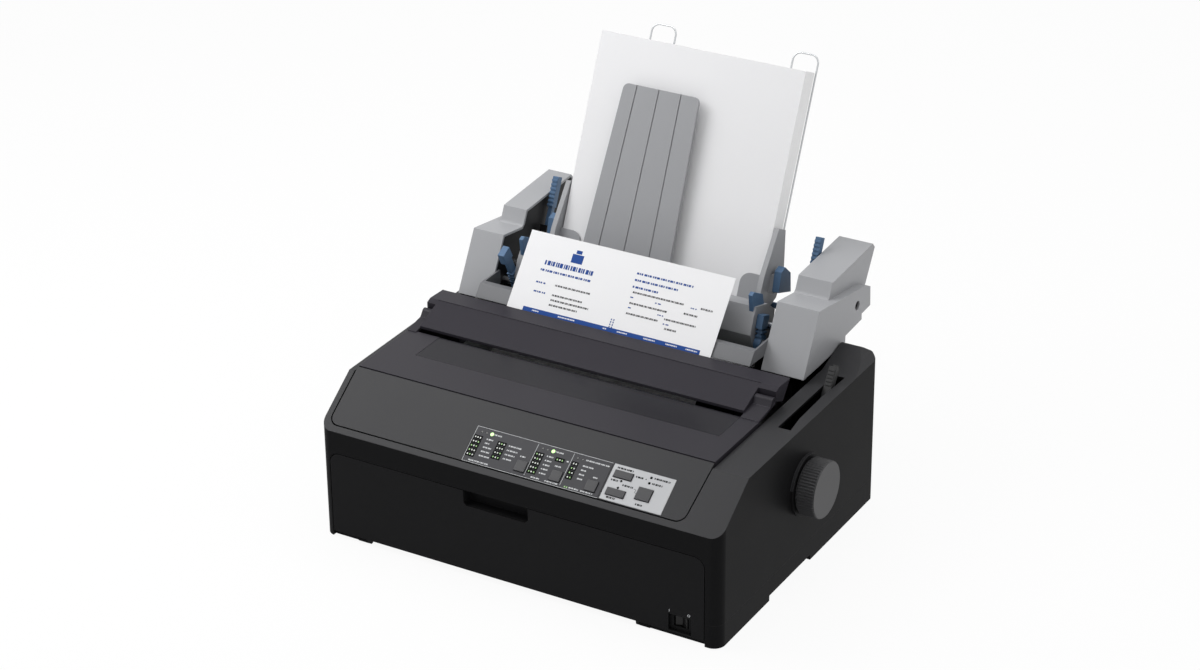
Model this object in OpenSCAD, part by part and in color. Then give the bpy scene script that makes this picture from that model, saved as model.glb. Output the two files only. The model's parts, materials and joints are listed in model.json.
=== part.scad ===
// Dot matrix printer with a cut-sheet feeder.
// X runs to the right, Y to the rear and Z up. The origin is at the centre of the base, on the table.

/* [Case] */
// Width of the case
case_w = 411; // [380:1:440]
// Depth of the case
case_d = 304; // [290:1:330]
// Height of the flat deck
deck_z = 146.5; // [144:0.5:150]
// Radius of the upright front corners
corner_r = 11; // [8:0.5:16]
// Radius of the upright rear corners
rear_corner_r = 5; // [4:0.5:12]
// Width of the rim left of the lid
rim_w = 5.6; // [4:0.2:7]
// Wall of the case mouldings
wall = 2.6; // [2:0.1:3.2]
// Height of the seam between the two case halves
seam_z = 23.5; // [20:0.5:26]
// Height of the front face, where the slope begins
front_z = 110.5; // [104:0.5:114]
// How far the slope runs back
slope_run = 51.5; // [46:0.5:56]
// Clearance of the foot rails above the table
rail_z = 0.8; // [0.5:0.1:1.2]
// Height of the case floor above the table
floor_z = 6; // [5:0.1:7]
// Thickness of the case floor
floor_t = 2.4; // [2:0.1:3]
// Width of the foot rails
foot_band = 14; // [12:1:18]
// Radius of each rubber foot
rubber_r = 5.5; // [4:0.1:6]
// Width of the right-hand deck beside the lid
deck_w = 34.6; // [32:0.2:38]
// Height of the raised rear corner above the deck
hump_h = 10.5; // [6:0.5:14]

/* [Front panel] */
// Lowest point of the panel, measured up the slope
panel_s0 = 7.4; // [6:0.1:10]
// Highest point of the panel, measured up the slope
panel_s1 = 68; // [67:0.1:70]
// Thickness of the panel
panel_t = 3; // [2:0.1:4]
// Gap all round the panel
panel_gap = 1.2; // [0.8:0.1:1.6]
// Radius of the panel's lower corners
panel_r = 9; // [6:0.5:12]
// Thickness of the overlays on the panel
overlay_t = 0.6; // [0.4:0.1:0.8]

/* [Keys] */
// Side of a small key
key_side = 10.5; // [9:0.1:12]
// Width of a wide key
wide_key_w = 18; // [16:0.5:20]
// Height of a wide key
wide_key_h = 7; // [6:0.5:8]
// Width of the big key
big_key_w = 14; // [12:0.5:16]
// Height of the big key
big_key_h = 12; // [10:0.5:13]
// How far the keys stand out of the panel
key_rise = 1.6; // [1.2:0.1:2.4]
// Gap round each key
key_gap = 0.3; // [0.2:0.05:0.4]

/* [Front door] */
// Left edge of the door, from the case's left side
door_left = 10.4; // [9:0.2:13]
// Right edge of the door, from the case's right side
door_right = 15.3; // [12:0.1:20]
// Bottom edge of the door
door_z0 = 6.3; // [6.3:0.1:7]
// Top edge of the door
door_z1 = 88; // [84:0.5:92]
// Thickness of the door
door_t = 2.8; // [2.2:0.1:3.2]
// Radius of the door's top corners
door_r = 10; // [6:0.5:14]
// Width of the grip recess
grip_w = 67; // [50:1:80]
// Height of the grip recess
grip_h = 15; // [12:0.5:18]
// Radius of the hinge pins
door_pin_r = 1.4; // [1:0.1:1.6]

/* [Power switch] */
// Distance of the switch from the case's right side
switch_right = 38.8; // [36:0.1:44]
// Width of the switch window
switch_w = 23; // [20:0.5:25]
// Height of the switch window
switch_h = 17; // [15:0.5:18]

/* [Lid] */
// Thickness of the lid's skin
lid_t = 2.4; // [2:0.1:3]
// Depth of the rim under the lid
lid_rim = 4.6; // [3:0.1:5.4]
// Depth of the lid from its front edge to its rear edge
lid_d = 82.6; // [80:0.2:84]
// Depth of the window
window_d = 41; // [36:0.5:46]
// Thickness of the window
window_t = 1.8; // [1.2:0.1:2.2]
// Radius of the hinge barrels
barrel_r = 4.2; // [3.8:0.1:4.4]
// Radius of the hinge pins
lid_pin_r = 2; // [1.6:0.1:2.4]
// Width of the left hinge arm
left_arm_w = 9.3; // [8:0.1:12]
// Width of the right hinge arm
right_arm_w = 18; // [14:0.5:20]

/* [Tension unit] */
// Height of the unit's ridge
ridge_z = 167; // [165:0.5:169]
// Place of the ridge from front to rear
ridge_y = 25; // [23:0.5:27]
// Height of the unit's front edge
lip_z = 154.2; // [153.6:0.1:155]

/* [Platen] */
// Radius of the platen
platen_r = 16.5; // [15:0.1:17]
// Length of the platen's rubber
platen_l = 232; // [224:1:240]
// Radius of the platen's shaft
platen_shaft_r = 4; // [3:0.1:5]
// Radius of the knob
knob_r = 27; // [24:0.5:30]
// Length of the knob
knob_l = 18.5; // [14:0.5:20]
// Number of grip ribs on the knob
knob_ribs = 60; // [40:2:80]

/* [Gears] */
// Width of the gears
gear_w = 6; // [4:0.5:8]

/* [Carriage] */
// Radius of the guide shaft
rail_r = 5; // [4:0.1:6]
// Width of the carriage
carriage_w = 48; // [44:1:52]
// Place of the carriage across the printer
carriage_x = -90; // [-110:1:60]
// Radius of the belt pulleys
pulley_r = 7.1; // [6:0.1:8]
// Thickness of the timing belt
belt_t = 1.2; // [0.8:0.1:1.4]
// Height of the timing belt
belt_h = 6; // [4:0.5:7]

/* [Feeder] */
// Inner face of the left cover, from the case's left side
feeder_left = 41; // [39:0.5:45]
// Inner face of the right cover, from the case's right side
feeder_right = 79; // [76:0.5:84]
// Wall of the feeder covers
cover_t = 2.4; // [2:0.1:2.8]
// How far the upper block of a cover is set in from its side
block_inset = 8; // [5:0.5:12]
// Thickness of the inner side plates
plate_t = 2; // [1.5:0.1:2.4]
// Radius of the feed shaft
feed_r = 4; // [3.4:0.1:4.4]
// Radius of the guide shaft
guide_r = 4; // [3:0.1:4.5]
// Radius of the pick rollers
roller_r = 14.5; // [13:0.1:14.5]
// Width of the pick rollers
roller_w = 14; // [10:0.5:16]
// Width of a sheet guide's roller cover
guide_w = 44; // [40:1:46]
// Thickness of a sheet guide's fin
fin_t = 5; // [3:0.1:6]
// Width of a lock lever
lock_w = 6.6; // [5:0.1:7]
// Length of the left lock lever
lock_left_l = 50; // [40:1:54]
// Length of the right lock lever
lock_right_l = 27; // [24:1:50]
// Lean of the left lock lever, forward
lock_left_lean = 27; // [0:1:30]
// Lean of the right lock lever, to the rear
lock_right_lean = 20; // [10:1:28]
// Width of a set lever
set_w = 6; // [5:0.5:8]
// Length of a set lever
set_l = 71.5; // [60:0.5:80]
// Radius of the wire of the paper supports
wire_r = 0.9; // [0.7:0.05:1.2]
// Width of a wire support
wire_w = 26; // [20:1:30]
// Width of the centre support at its top
support_top_w = 81; // [70:1:86]
// Width of the centre support at its bottom
support_bottom_w = 96; // [88:1:100]

/* [Paper] */
// Width of the paper
paper_w = 216; // [210:1:216]
// Length of the paper
paper_l = 279; // [260:1:290]
// Thickness of the stack of paper
stack_t = 20; // [4:0.5:20]
// Lean of the stack from upright
stack_lean = 24; // [22:0.5:26]
// Thickness of the printed sheet
sheet_t = 0.4; // [0.2:0.05:0.5]
// How much of the printed sheet stands above the tension unit
sheet_out = 77; // [40:1:90]

/* [Hidden] */

$fn = 48;
run = 0.05;                 // radial clearance of a running fit
gap = 0.3;                  // clearance between pieces that move past each other
cut = 1;                    // how far a cut runs past a face

// case
mid_x = -1.5;                               // middle of the case, from the middle foot
left_x = mid_x - case_w / 2;
right_x = mid_x + case_w / 2;
front_y = -case_d / 2;
rear_y = case_d / 2;
slope_a = atan2(deck_z - front_z, slope_run);
floor_top = floor_z + floor_t;
well_x0 = left_x + rim_w;                    // the big opening in the top
well_x1 = right_x - deck_w;
foot_y = [front_y + 19, -58, 22, rear_y - 4];   // ends of the side foot rails
foot_notch = [left_x + 46, right_x - 80];       // gap between the front foot rails
boss_r = 4;
board_z = 24;
supply_z = 12;
rubber_at = [for (x = [left_x + 7.5, right_x - 7.5]) for (y = [-100, 100]) [x, y]];
slot_x = [right_x - 20, right_x - 8.5];     // slot of the release lever
slot_y = [-8, 104];
inlet_x = right_x - 39;
inlet_z = 40;
socket_x = [right_x - 186, right_x - 122];
lever_at = [40, 80];                        // pivot of the release lever
lever_x = [right_x - 19.6, right_x - 11.9];
lever_pin_r = 3;

// door
door_x0 = left_x + door_left;
door_x1 = right_x - door_right;
door_pocket = door_t + 0.6;
door_axis = [front_y + 4, rail_z + 2.5];
knuckle_w = 3;
grip_x = -20.5;
pocket_t = 1.6;
pocket_d = 11;

// switch
switch_x = right_x - switch_right;
switch_z = 16;
rocker_w = 12.6;
rocker_h = 10;
rocker_x = switch_x - 0.5;
rocker_y = front_y + 8.4;

// lid and hinge
lid_top = front_z + panel_s1 * sin(slope_a) + 0.9;
lid_y0 = front_y + panel_s1 * cos(slope_a) + 0.8;
lid_y1 = lid_y0 + lid_d;
lid_x0 = well_x0 + 1.8;
lid_x1 = well_x1 - 0.9;
lid_low = lid_top - lid_t - lid_rim;
window_x0 = lid_x0 + 34;
window_x1 = lid_x1 - right_arm_w - 0.2;
window_y0 = lid_y1 - window_d;
hinge = [14, 157];
arm_l1 = lid_x0 + left_arm_w;
arm_r0 = lid_x1 - right_arm_w;
unit_back = [46.5, 166];                    // rear top edge of the tension unit

// platen and gears
platen = [7, 87];
frame_lx = left_x + 33;                     // inner faces of the side frames
frame_rx = right_x - 72;
platen_x0 = frame_lx + 38;
frame_t = 2;
knob_x = right_x + 3.6;
pitch = 1;                                  // tooth module
platen_teeth = 44;
idler_a_teeth = 42;
idler_b_teeth = 56;
feed_teeth = 54;
pinion_teeth = 14;
gear_x = frame_lx - frame_t - 1 - gear_w;
gear_bore_r = 3;
idler_a = 17.6;                             // bearing of the first idler from the platen
idler_a_at = [platen[0] + (platen_teeth + idler_a_teeth) / 2 * pitch * cos(idler_a),
              platen[1] + (platen_teeth + idler_a_teeth) / 2 * pitch * sin(idler_a)];
feed_at = [122, 170];
idler_b_at = meet(idler_a_at, (idler_a_teeth + idler_b_teeth) / 2 * pitch,
                  feed_at, (idler_b_teeth + feed_teeth) / 2 * pitch);
pinion_a = 250;
pinion_at = [platen[0] + (platen_teeth + pinion_teeth) / 2 * pitch * cos(pinion_a),
             platen[1] + (platen_teeth + pinion_teeth) / 2 * pitch * sin(pinion_a)];
motor_r = 21;
motor_l = 34;
motor_shaft_r = 2.5;

// carriage drive
rail_at = [-48, 70];
belt_y = -80;
belt_z = 62;
pulley_x = [frame_lx + 24, frame_rx - 20];
belt_r = pulley_r + gap;

// feeder
feeder_x0 = left_x + feeder_left;
feeder_x1 = right_x - feeder_right;
cover_out_l = left_x + 7.5;
cover_out_r = well_x1 - 1.4;
plate_l = [feeder_x0 - 1 - plate_t, feeder_x0 - 1];
plate_r = [feeder_x1 + 1, feeder_x1 + 1 + plate_t];
guide_at = [104, 160];
peg_at = [104, 126];
peg_r = 4;
lock_at = [100, 155.5];
set_at = [168, 166.5];
set_r = 3;
set_lean = 25;

// paper
paper_x0 = frame_lx + 44;
paper_x1 = paper_x0 + paper_w;
stack_foot = [117.4, 123.2];                // lower front edge of the stack
hopper_t0 = stack_t + 0.3;
hopper_t = 2;
hopper_top = 105;
sheet_lean = 39.4;
sheet_at = [48.5, 164];                     // where the sheet passes the tension unit
sheet_r = platen_r + 0.2;

// Where two gears meet that lie at distances r1 from p and r2 from q, on the lower side.
function meet(p, r1, q, r2) =
    let (d = norm(q - p), u = (q - p) / d, a = (r1 * r1 - r2 * r2 + d * d) / (2 * d),
         h = sqrt(r1 * r1 - a * a))
    [p[0] + a * u[0] + h * u[1], p[1] + a * u[1] - h * u[0]];

// Direction from p to q in degrees.
function bearing(p, q) = atan2(q[1] - p[1], q[0] - p[0]);

// Points of an arc.
function arc(c, r, a0, a1, n) =
    [for (i = [0 : n]) c + r * [cos(a0 + (a1 - a0) * i / n), sin(a0 + (a1 - a0) * i / n)]];

// Outline of the front panel, on the slope, grown by o.
function panel_outline(o) =
    let (x0 = well_x0 + panel_gap - o, x1 = well_x1 - panel_gap + o, s0 = panel_s0 - o,
         r = panel_r + o)
    concat([[x1, panel_s1 + o]], [[x0, panel_s1 + o]],
           arc([x0 + r, s0 + r], r, 180, 270, 8),
           arc([x1 - 3.6 - r, s0 + r], r, 270, 360, 8));

module box(x0, x1, y0, y1, z0, z1)
    translate([x0, y0, z0]) cube([x1 - x0, y1 - y0, z1 - z0]);

// An outline in [y, z] drawn from x0 to x1.
module along_x(x0, x1, points)
    translate([x0, 0, 0]) rotate([90, 0, 90]) linear_extrude(x1 - x0) polygon(points);

// An outline in [x, z] drawn from y0 to y1.
module along_y(y0, y1, points)
    translate([0, y1, 0]) rotate([90, 0, 0]) linear_extrude(y1 - y0) polygon(points);

// A round bar along X at [y, z].
module rod_x(x0, x1, at, r, fn = 48)
    translate([x0, at[0], at[1]]) rotate([0, 90, 0]) cylinder(h = x1 - x0, r = r, $fn = fn);

module rod_z(x, y, z0, z1, r)
    translate([x, y, z0]) cylinder(h = z1 - z0, r = r);

// The case's plan, set in by o.
module plan(o = 0) {
    x = [left_x + o, right_x - o];
    y = [front_y + o, rear_y - o];
    rf = max(corner_r - o, 0.5);
    rr = max(rear_corner_r - o, 0.5);
    translate([x[0], y[0] + rf]) square([x[1] - x[0], y[1] - y[0] - rf - rr]);
    translate([x[0] + rf, y[0]]) square([x[1] - x[0] - 2 * rf, rf + cut]);
    translate([x[0] + rr, y[1] - rr - cut]) square([x[1] - x[0] - 2 * rr, rr + cut]);
    for (at = [x[0] + rf, x[1] - rf])
        translate([at, y[0] + rf]) circle(rf);
    for (at = [x[0] + rr, x[1] - rr])
        translate([at, y[1] - rr]) circle(rr);
}

// A band of the case's plan between two insets.
module plan_band(o0, o1)
    difference() {
        plan(o0);
        plan(o1);
    }

// The slope's own frame: X across, Y up the slope, Z out of it.
module on_slope()
    translate([0, front_y, front_z]) rotate([slope_a, 0, 0]) children();

// The stack's own frame: X across, Y to the rear of the stack, Z up the sheets.
module on_stack()
    translate([0, stack_foot[0], stack_foot[1]]) rotate([-stack_lean, 0, 0]) children();

// A gear blank with teeth, drawn in the YZ plane, with a tooth centred on the bearing a.
module gear(at, teeth, a, x0, w, bore)
    translate([x0, at[0], at[1]]) rotate([90, 0, 90]) linear_extrude(w) difference() {
        r = teeth * pitch / 2;
        polygon([for (i = [0 : teeth - 1])
                 for (p = [[-0.25, -1.2], [-0.13, 0.9], [0.13, 0.9], [0.25, -1.2]])
                 (r + p[1] * pitch) * [cos(a + (i + p[0]) * 360 / teeth),
                                       sin(a + (i + p[0]) * 360 / teeth)]]);
        circle(bore);
    }

// Bearing of a tooth of the gear at q that meets a gap, when the gear at p has a tooth on bearing a.
function mesh(p, tp, a, q, tq) =
    let (b = bearing(p, q), lead = (a - b) * tp / 360)
    b + 180 - (lead + 0.5) * 360 / tq;

platen_a = bearing(platen, idler_a_at);
idler_a_a = mesh(platen, platen_teeth, platen_a, idler_a_at, idler_a_teeth);
idler_b_a = mesh(idler_a_at, idler_a_teeth, idler_a_a, idler_b_at, idler_b_teeth);
feed_a = mesh(idler_b_at, idler_b_teeth, idler_b_a, feed_at, feed_teeth);
motor_a = mesh(platen, platen_teeth, platen_a, pinion_at, pinion_teeth);

// An outline that runs clockwise, set in by o.
function inset(p, o) =
    [for (i = [0 : len(p) - 1])
        let (n = len(p), u = unit(p[i] - p[(i + n - 1) % n]), v = unit(p[(i + 1) % n] - p[i]))
        p[i] + o * [u[1] + v[1], -u[0] - v[0]] / (1 + u * v)];

function unit(v) = v / norm(v);

// Outline of the door, in [x, z].
module door_outline(o = 0) {
    w = door_x1 - door_x0 + 2 * o;
    r = door_r + o;
    translate([door_x0 - o, door_z0 - o]) {
        square([w, door_z1 - door_z0 + 2 * o - r]);
        translate([r, 0]) square([w - 2 * r, door_z1 - door_z0 + 2 * o]);
        for (x = [r, w - r])
            translate([x, door_z1 - door_z0 + 2 * o - r]) circle(r);
    }
}

module door_block(o = 0)
    translate([0, front_y + corner_r, 0]) rotate([90, 0, 0])
        linear_extrude(corner_r + cut) door_outline(o);

module lower_case()
    color("#26272a") {
        difference() {
            translate([0, 0, floor_z]) linear_extrude(seam_z - floor_z) plan();
            translate([0, 0, floor_top]) linear_extrude(seam_z) plan(door_pocket + wall);
            intersection() {
                translate([0, 0, floor_top]) linear_extrude(seam_z) plan(wall);
                box(left_x, right_x, front_y + corner_r, rear_y, floor_z, seam_z + cut);
            }
            intersection() {
                translate([0, 0, floor_z - cut]) linear_extrude(seam_z) plan_band(-cut, door_pocket);
                box(door_x0 - 0.9, door_x1 + 0.9, front_y - cut, front_y + corner_r, 0, seam_z + cut);
            }
            box(switch_x - switch_w / 2 - 1, switch_x + switch_w / 2 + 1, front_y - cut, front_y + 12,
                floor_top, seam_z + cut);
        }
        difference() {
            translate([0, 0, rail_z]) linear_extrude(floor_z - rail_z) plan_band(0, foot_band);
            box(foot_notch[0], foot_notch[1], front_y - cut, front_y + foot_band + cut, 0, floor_z);
            box(foot_notch[0], right_x - 43, rear_y - foot_band - cut, rear_y + cut, 0, floor_z);
            box(left_x - cut, right_x + cut, foot_y[1], foot_y[2], 0, floor_z);
            intersection() {
                linear_extrude(floor_z) plan_band(-cut, door_axis[0] - front_y);
                box(door_x0 - 0.9, door_x1 + 0.9, front_y - cut, front_y + corner_r, 0, floor_z);
            }
            rod_x(foot_notch[0] - 5, foot_notch[1] + 5, door_axis, door_pin_r + run);
            for (p = rubber_at)
                rod_z(p[0], p[1], 0, rail_z + 1.2, rubber_r);
        }
        for (x = [foot_notch[0] - 10, foot_notch[1]])
            difference() {
                rod_x(x, x + 10, door_axis, door_axis[1] - rail_z);
                rod_x(x - cut, x + 10 + cut, door_axis, door_pin_r + run);
                box(x - cut, x + 10 + cut, door_axis[0], door_axis[0] + 10, 0, floor_z);
            }
        rod_z(0, 0, 3, floor_z, 10);
        for (x = [left_x + 57, right_x - 144])
            for (y = [20, 115])
                rod_z(x, y, floor_top, board_z, boss_r);
        for (x = [right_x - 58, right_x - 14])
            for (y = [-80, 90])
                rod_z(x, y, floor_top, supply_z, boss_r);
    }

module rubber_feet()
    color("#101010") {
        for (p = rubber_at)
            rod_z(p[0], p[1], 0, rail_z + 1.2, rubber_r);
        rod_z(0, 0, 0, 3, 9);
    }

// Side view of the upper case's outside, set in by o.
function case_side(o) =
    [[front_y + o, seam_z - (o > 0 ? cut : 0)],
     [front_y + o, front_z - o * (1 - sin(slope_a)) / cos(slope_a)],
     [front_y + slope_run + o * (1 - cos(slope_a)) / sin(slope_a), deck_z - o],
     [rear_y - o, deck_z - o], [rear_y - o, seam_z - (o > 0 ? cut : 0)]];

rear_gap = [frame_lx - 4, frame_rx + 4];

module upper_case()
    color("#2b2c2f") {
        difference() {
            union() {
                intersection() {
                    linear_extrude(deck_z + cut) plan();
                    along_x(left_x - cut, right_x + cut, case_side(0));
                }
                intersection() {
                    linear_extrude(deck_z + hump_h + cut) plan();
                    along_x(well_x1, right_x, [[108, deck_z], [124, deck_z + hump_h * 0.45],
                            [rear_y - 7, deck_z + hump_h], [rear_y - 3, deck_z + hump_h - 0.5],
                            [rear_y, deck_z + hump_h - 3.5], [rear_y, deck_z]]);
                    along_y(100, rear_y, [[well_x1, deck_z], [well_x1, deck_z + hump_h],
                            [right_x - 14, deck_z + hump_h], [right_x - 5, deck_z + hump_h * 0.6],
                            [right_x, deck_z]]);
                }
                rod_x(right_x - cut, right_x + 2.8, platen, knob_r + 2, 96);
            }
            intersection() {
                translate([0, 0, seam_z - cut]) linear_extrude(deck_z) plan(wall);
                along_x(left_x, right_x, case_side(wall));
            }
            // well for the lid, the tension unit and the feeder
            box(well_x0, well_x1, front_y + slope_run, rear_y - wall, deck_z - wall - cut,
                deck_z + cut);
            on_slope() translate([0, 0, -panel_t - 4]) linear_extrude(12)
                polygon(panel_outline(panel_gap));
            // low part of the rear wall
            box(rear_gap[0], rear_gap[1], rear_y - wall - cut, rear_y + cut, 118, deck_z + cut);
            // door pocket
            intersection() {
                linear_extrude(deck_z) plan_band(-cut, wall + cut);
                door_block(0.9);
            }
            // lever slot, knob shaft, sockets and vents
            translate([0, 0, deck_z - wall - cut]) linear_extrude(wall + 2 * cut)
                polygon([[slot_x[0], slot_y[0]], [slot_x[1] + 1, slot_y[0]], [slot_x[1] - 2, 15],
                         [slot_x[1] - 3, 60], [slot_x[1] - 1, slot_y[1]], [slot_x[0], slot_y[1]]]);
            rod_x(right_x - wall - cut, right_x + 4, platen, 12);
            box(inlet_x - 14, inlet_x + 14, rear_y - wall - cut, rear_y + cut, inlet_z - 10,
                inlet_z + 10);
            box(socket_x[0], socket_x[1], rear_y - wall - cut, rear_y + cut, board_z + 1.6,
                board_z + 18);
            for (i = [0 : 13])
                box(-120 + i * 9, -116 + i * 9, rear_y - wall - cut, rear_y + cut, 60, 96);
        }
        // frame behind the door, with the front paper opening
        difference() {
            intersection() {
                translate([0, 0, seam_z]) linear_extrude(door_z1 + 5 - seam_z)
                    plan_band(door_pocket, door_pocket + wall);
                box(door_x0 - 3, door_x1 + 3, front_y, front_y + corner_r, seam_z, door_z1 + 5);
            }
            box(-178, 168, front_y, front_y + 12, 34, 82);
            box(grip_x - grip_w / 2 - 3, grip_x + grip_w / 2 + 3, front_y, front_y + 12, 60,
                door_z1 + 6);
            box(switch_x - switch_w / 2 - 1, switch_x + switch_w / 2 + 1, front_y, front_y + 12,
                seam_z - cut, 27);
        }
        intersection() {
            difference() {
                linear_extrude(door_z1 + 5) plan_band(wall - 0.4, door_pocket + wall);
                box(grip_x - grip_w / 2 - 3, grip_x + grip_w / 2 + 3, front_y, front_y + 12, 60,
                    door_z1 + 6);
            }
            translate([0, front_y + corner_r, 0]) rotate([90, 0, 0]) linear_extrude(corner_r)
                difference() {
                    door_outline(3);
                    door_outline(0.9);
                    translate([left_x, 0]) square([case_w, seam_z]);
                }
        }
        // shelf under the panel's lower edge, and the pivot of the release lever
        on_slope() {
            box(well_x0 + 8, well_x1 - 12, 3, 6, -panel_t - 2, -wall + 0.4);
            box(well_x0 + 8, well_x1 - 12, 3, 9.4, -panel_t - 2, -panel_t);
        }
        rod_x(lever_x[0] - 0.6, right_x - wall + 0.5, lever_at, lever_pin_r);
        rod_x(lever_x[1] + gap, right_x - wall + 0.5, lever_at, 7);
    }

key_rows = [16.8, 34.4, 22.3];
small_key_x = [for (d = [205.4, 169.7, 133.9]) right_x - d];
wide_key_x = right_x - 110;
big_key_x = right_x - 84.2;
lamp_s = 38.7;
lit_x = [for (d = [245.8, 182.7]) right_x - d];
small_lamp_x = [for (d = [255.9, 251.1, 193.2, 188.3, 157.7, 152.5]) right_x - d];
lit_r = 1.8;
small_lamp_r = 1.1;
overlay_x = [for (d = [262.5, 124, 122.4, 61.5]) right_x - d];
overlay_s = [8.2, 43.5];

// Holes of all the keys, grown by g, through the panel and its overlays.
module key_holes(g)
    translate([0, 0, -panel_t - cut]) linear_extrude(panel_t + 2 * cut) {
        for (x = small_key_x)
            translate([x, key_rows[0]]) square(key_side + 2 * g, center = true);
        for (s = [key_rows[1], key_rows[0]])
            translate([wide_key_x, s]) square([wide_key_w + 2 * g, wide_key_h + 2 * g], center = true);
        translate([big_key_x, key_rows[2]])
            square([big_key_w + 2 * g, big_key_h + 2 * g], center = true);
    }

module lamp_pegs(z0, z1, g = 0) {
    for (x = lit_x)
        translate([x, lamp_s, z0]) cylinder(h = z1 - z0, r = lit_r + g);
    for (x = small_lamp_x)
        translate([x, lamp_s, z0]) cylinder(h = z1 - z0, r = small_lamp_r + g);
}

module front_panel()
    color("#4a4b4e") {
        difference() {
            on_slope() difference() {
                translate([0, 0, -panel_t]) linear_extrude(panel_t) polygon(panel_outline(0));
                key_holes(key_gap);
                lamp_pegs(-panel_t - cut, cut, run);
                translate([0, 0, -overlay_t])
                    for (i = [0, 2])
                        box(overlay_x[i], overlay_x[i + 1], overlay_s[0], overlay_s[1], 0, 2);
            }
            box(left_x, right_x, lid_y0 - 0.8, lid_y1, deck_z - 10, lid_top);
        }
        // ledge that carries the front of the lid
        box(well_x0 + 6, well_x1 - 8, lid_y0 - 8.5, lid_y0 + 5, lid_low - 2.2, lid_low - 0.2);
    }

module control_overlay()
    color("#3a3b3d") on_slope() difference() {
        box(overlay_x[0], overlay_x[1], overlay_s[0], overlay_s[1], -overlay_t, 0.2);
        key_holes(key_gap);
        lamp_pegs(-cut, cut, run);
    }

module key_overlay()
    color("#b9bcbf") on_slope() difference() {
        box(overlay_x[2], overlay_x[3], overlay_s[0], overlay_s[1], -overlay_t, 0.2);
        key_holes(key_gap);
    }

module status_lamps()
    color("#4ad15b") on_slope() lamp_pegs(-panel_t, 0.35);

module key(x, s, w, h)
    on_slope() {
        box(x - w / 2, x + w / 2, s - h / 2, s + h / 2, -panel_t - 1, key_rise);
        box(x - w / 2 - 1, x + w / 2 + 1, s - h / 2 - 1, s + h / 2 + 1, -panel_t - 1.8,
            -panel_t - gap);
    }

module small_key(i)
    color("#161718") key(small_key_x[i], key_rows[0], key_side, key_side);

module wide_key(i)
    color("#c9ccce") key(wide_key_x, key_rows[1 - i], wide_key_w, wide_key_h);

module big_key()
    color("#c9ccce") key(big_key_x, key_rows[2], big_key_w, big_key_h);

module front_door()
    color("#2a2b2e") {
        difference() {
            intersection() {
                linear_extrude(door_z1 + cut) plan_band(0, door_t);
                door_block();
            }
            along_y(front_y - cut, front_y + 6, [
                [grip_x - grip_w / 2, door_z1 + cut], [grip_x - grip_w / 2, door_z1 - grip_h + 3],
                [grip_x - grip_w / 2 + 3, door_z1 - grip_h], [grip_x + grip_w / 2 - 3, door_z1 - grip_h],
                [grip_x + grip_w / 2, door_z1 - grip_h + 3], [grip_x + grip_w / 2, door_z1 + cut]]);
            box(switch_x - switch_w / 2, switch_x + switch_w / 2, front_y - cut, front_y + 6,
                switch_z - switch_h / 2, switch_z + switch_h / 2);
        }
        // hinge knuckles and pins
        for (side = [0, 1]) {
            x = side == 0 ? foot_notch[0] + gap : foot_notch[1] - gap - knuckle_w;
            rod_x(x, x + knuckle_w, door_axis, 2.4);
            along_x(x, x + knuckle_w, [
                [door_axis[0] - 2.4, door_axis[1]], [front_y + 0.6, door_z0 + 1],
                [front_y + door_t, door_z0 + 1], [front_y + door_t, door_z0 - 0.1],
                [door_axis[0], door_axis[1] + 2.4]]);
            rod_x(side == 0 ? x - 4.4 : x, x + knuckle_w + (side == 0 ? 0 : 4.4), door_axis, door_pin_r);
        }
    }

module finger_pocket()
    color("#2a2b2e") difference() {
        box(grip_x - grip_w / 2 - pocket_t, grip_x + grip_w / 2 + pocket_t, front_y + door_t,
            front_y + door_t + pocket_d, door_z1 - grip_h - pocket_t, door_z1);
        box(grip_x - grip_w / 2, grip_x + grip_w / 2, front_y, front_y + door_t + pocket_d - pocket_t,
            door_z1 - grip_h, door_z1 + cut);
    }

module switch_housing()
    color("#0e0e0f") difference() {
        box(switch_x - switch_w / 2 - 0.8, switch_x + switch_w / 2 + 0.8, front_y + door_t + 0.8,
            front_y + 26, floor_top, switch_z + switch_h / 2 + 1.4);
        box(rocker_x - rocker_w / 2 - 1, rocker_x + rocker_w / 2 + 1, front_y, front_y + 14,
            switch_z - rocker_h / 2 - gap, switch_z + rocker_h / 2 + gap);
        rod_z(rocker_x, rocker_y, switch_z - rocker_h / 2 - 1, switch_z + rocker_h / 2 + 1, 1.5 + run);
    }

module power_rocker()
    color("#3c3d40") {
        translate([0, 0, switch_z - rocker_h / 2]) linear_extrude(rocker_h) polygon([
            [rocker_x - rocker_w / 2, rocker_y - 3.4], [rocker_x, rocker_y - 2.2],
            [rocker_x + rocker_w / 2 - 0.6, rocker_y - 5], [rocker_x + rocker_w / 2, rocker_y - 4.4],
            [rocker_x + rocker_w / 2 - 1, rocker_y + 1.5], [rocker_x + 2, rocker_y + 4],
            [rocker_x - 2, rocker_y + 4], [rocker_x - rocker_w / 2 + 1, rocker_y + 1.5]]);
        rod_z(rocker_x, rocker_y, switch_z - rocker_h / 2 - 1, switch_z + rocker_h / 2 + 1, 1.5);
    }

// Side view of an arm that carries the lid.
arm_points = [[lid_y1 - 2, lid_top - lid_t], [lid_y1 - 2, lid_top + 0.8],
              [hinge[0] - 7, hinge[1] - 2.3], [hinge[0] - 2.6, hinge[1] + 3.2],
              [hinge[0] + 1, hinge[1]], [hinge[0] - 0.5, hinge[1] - 4.1]];

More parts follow.
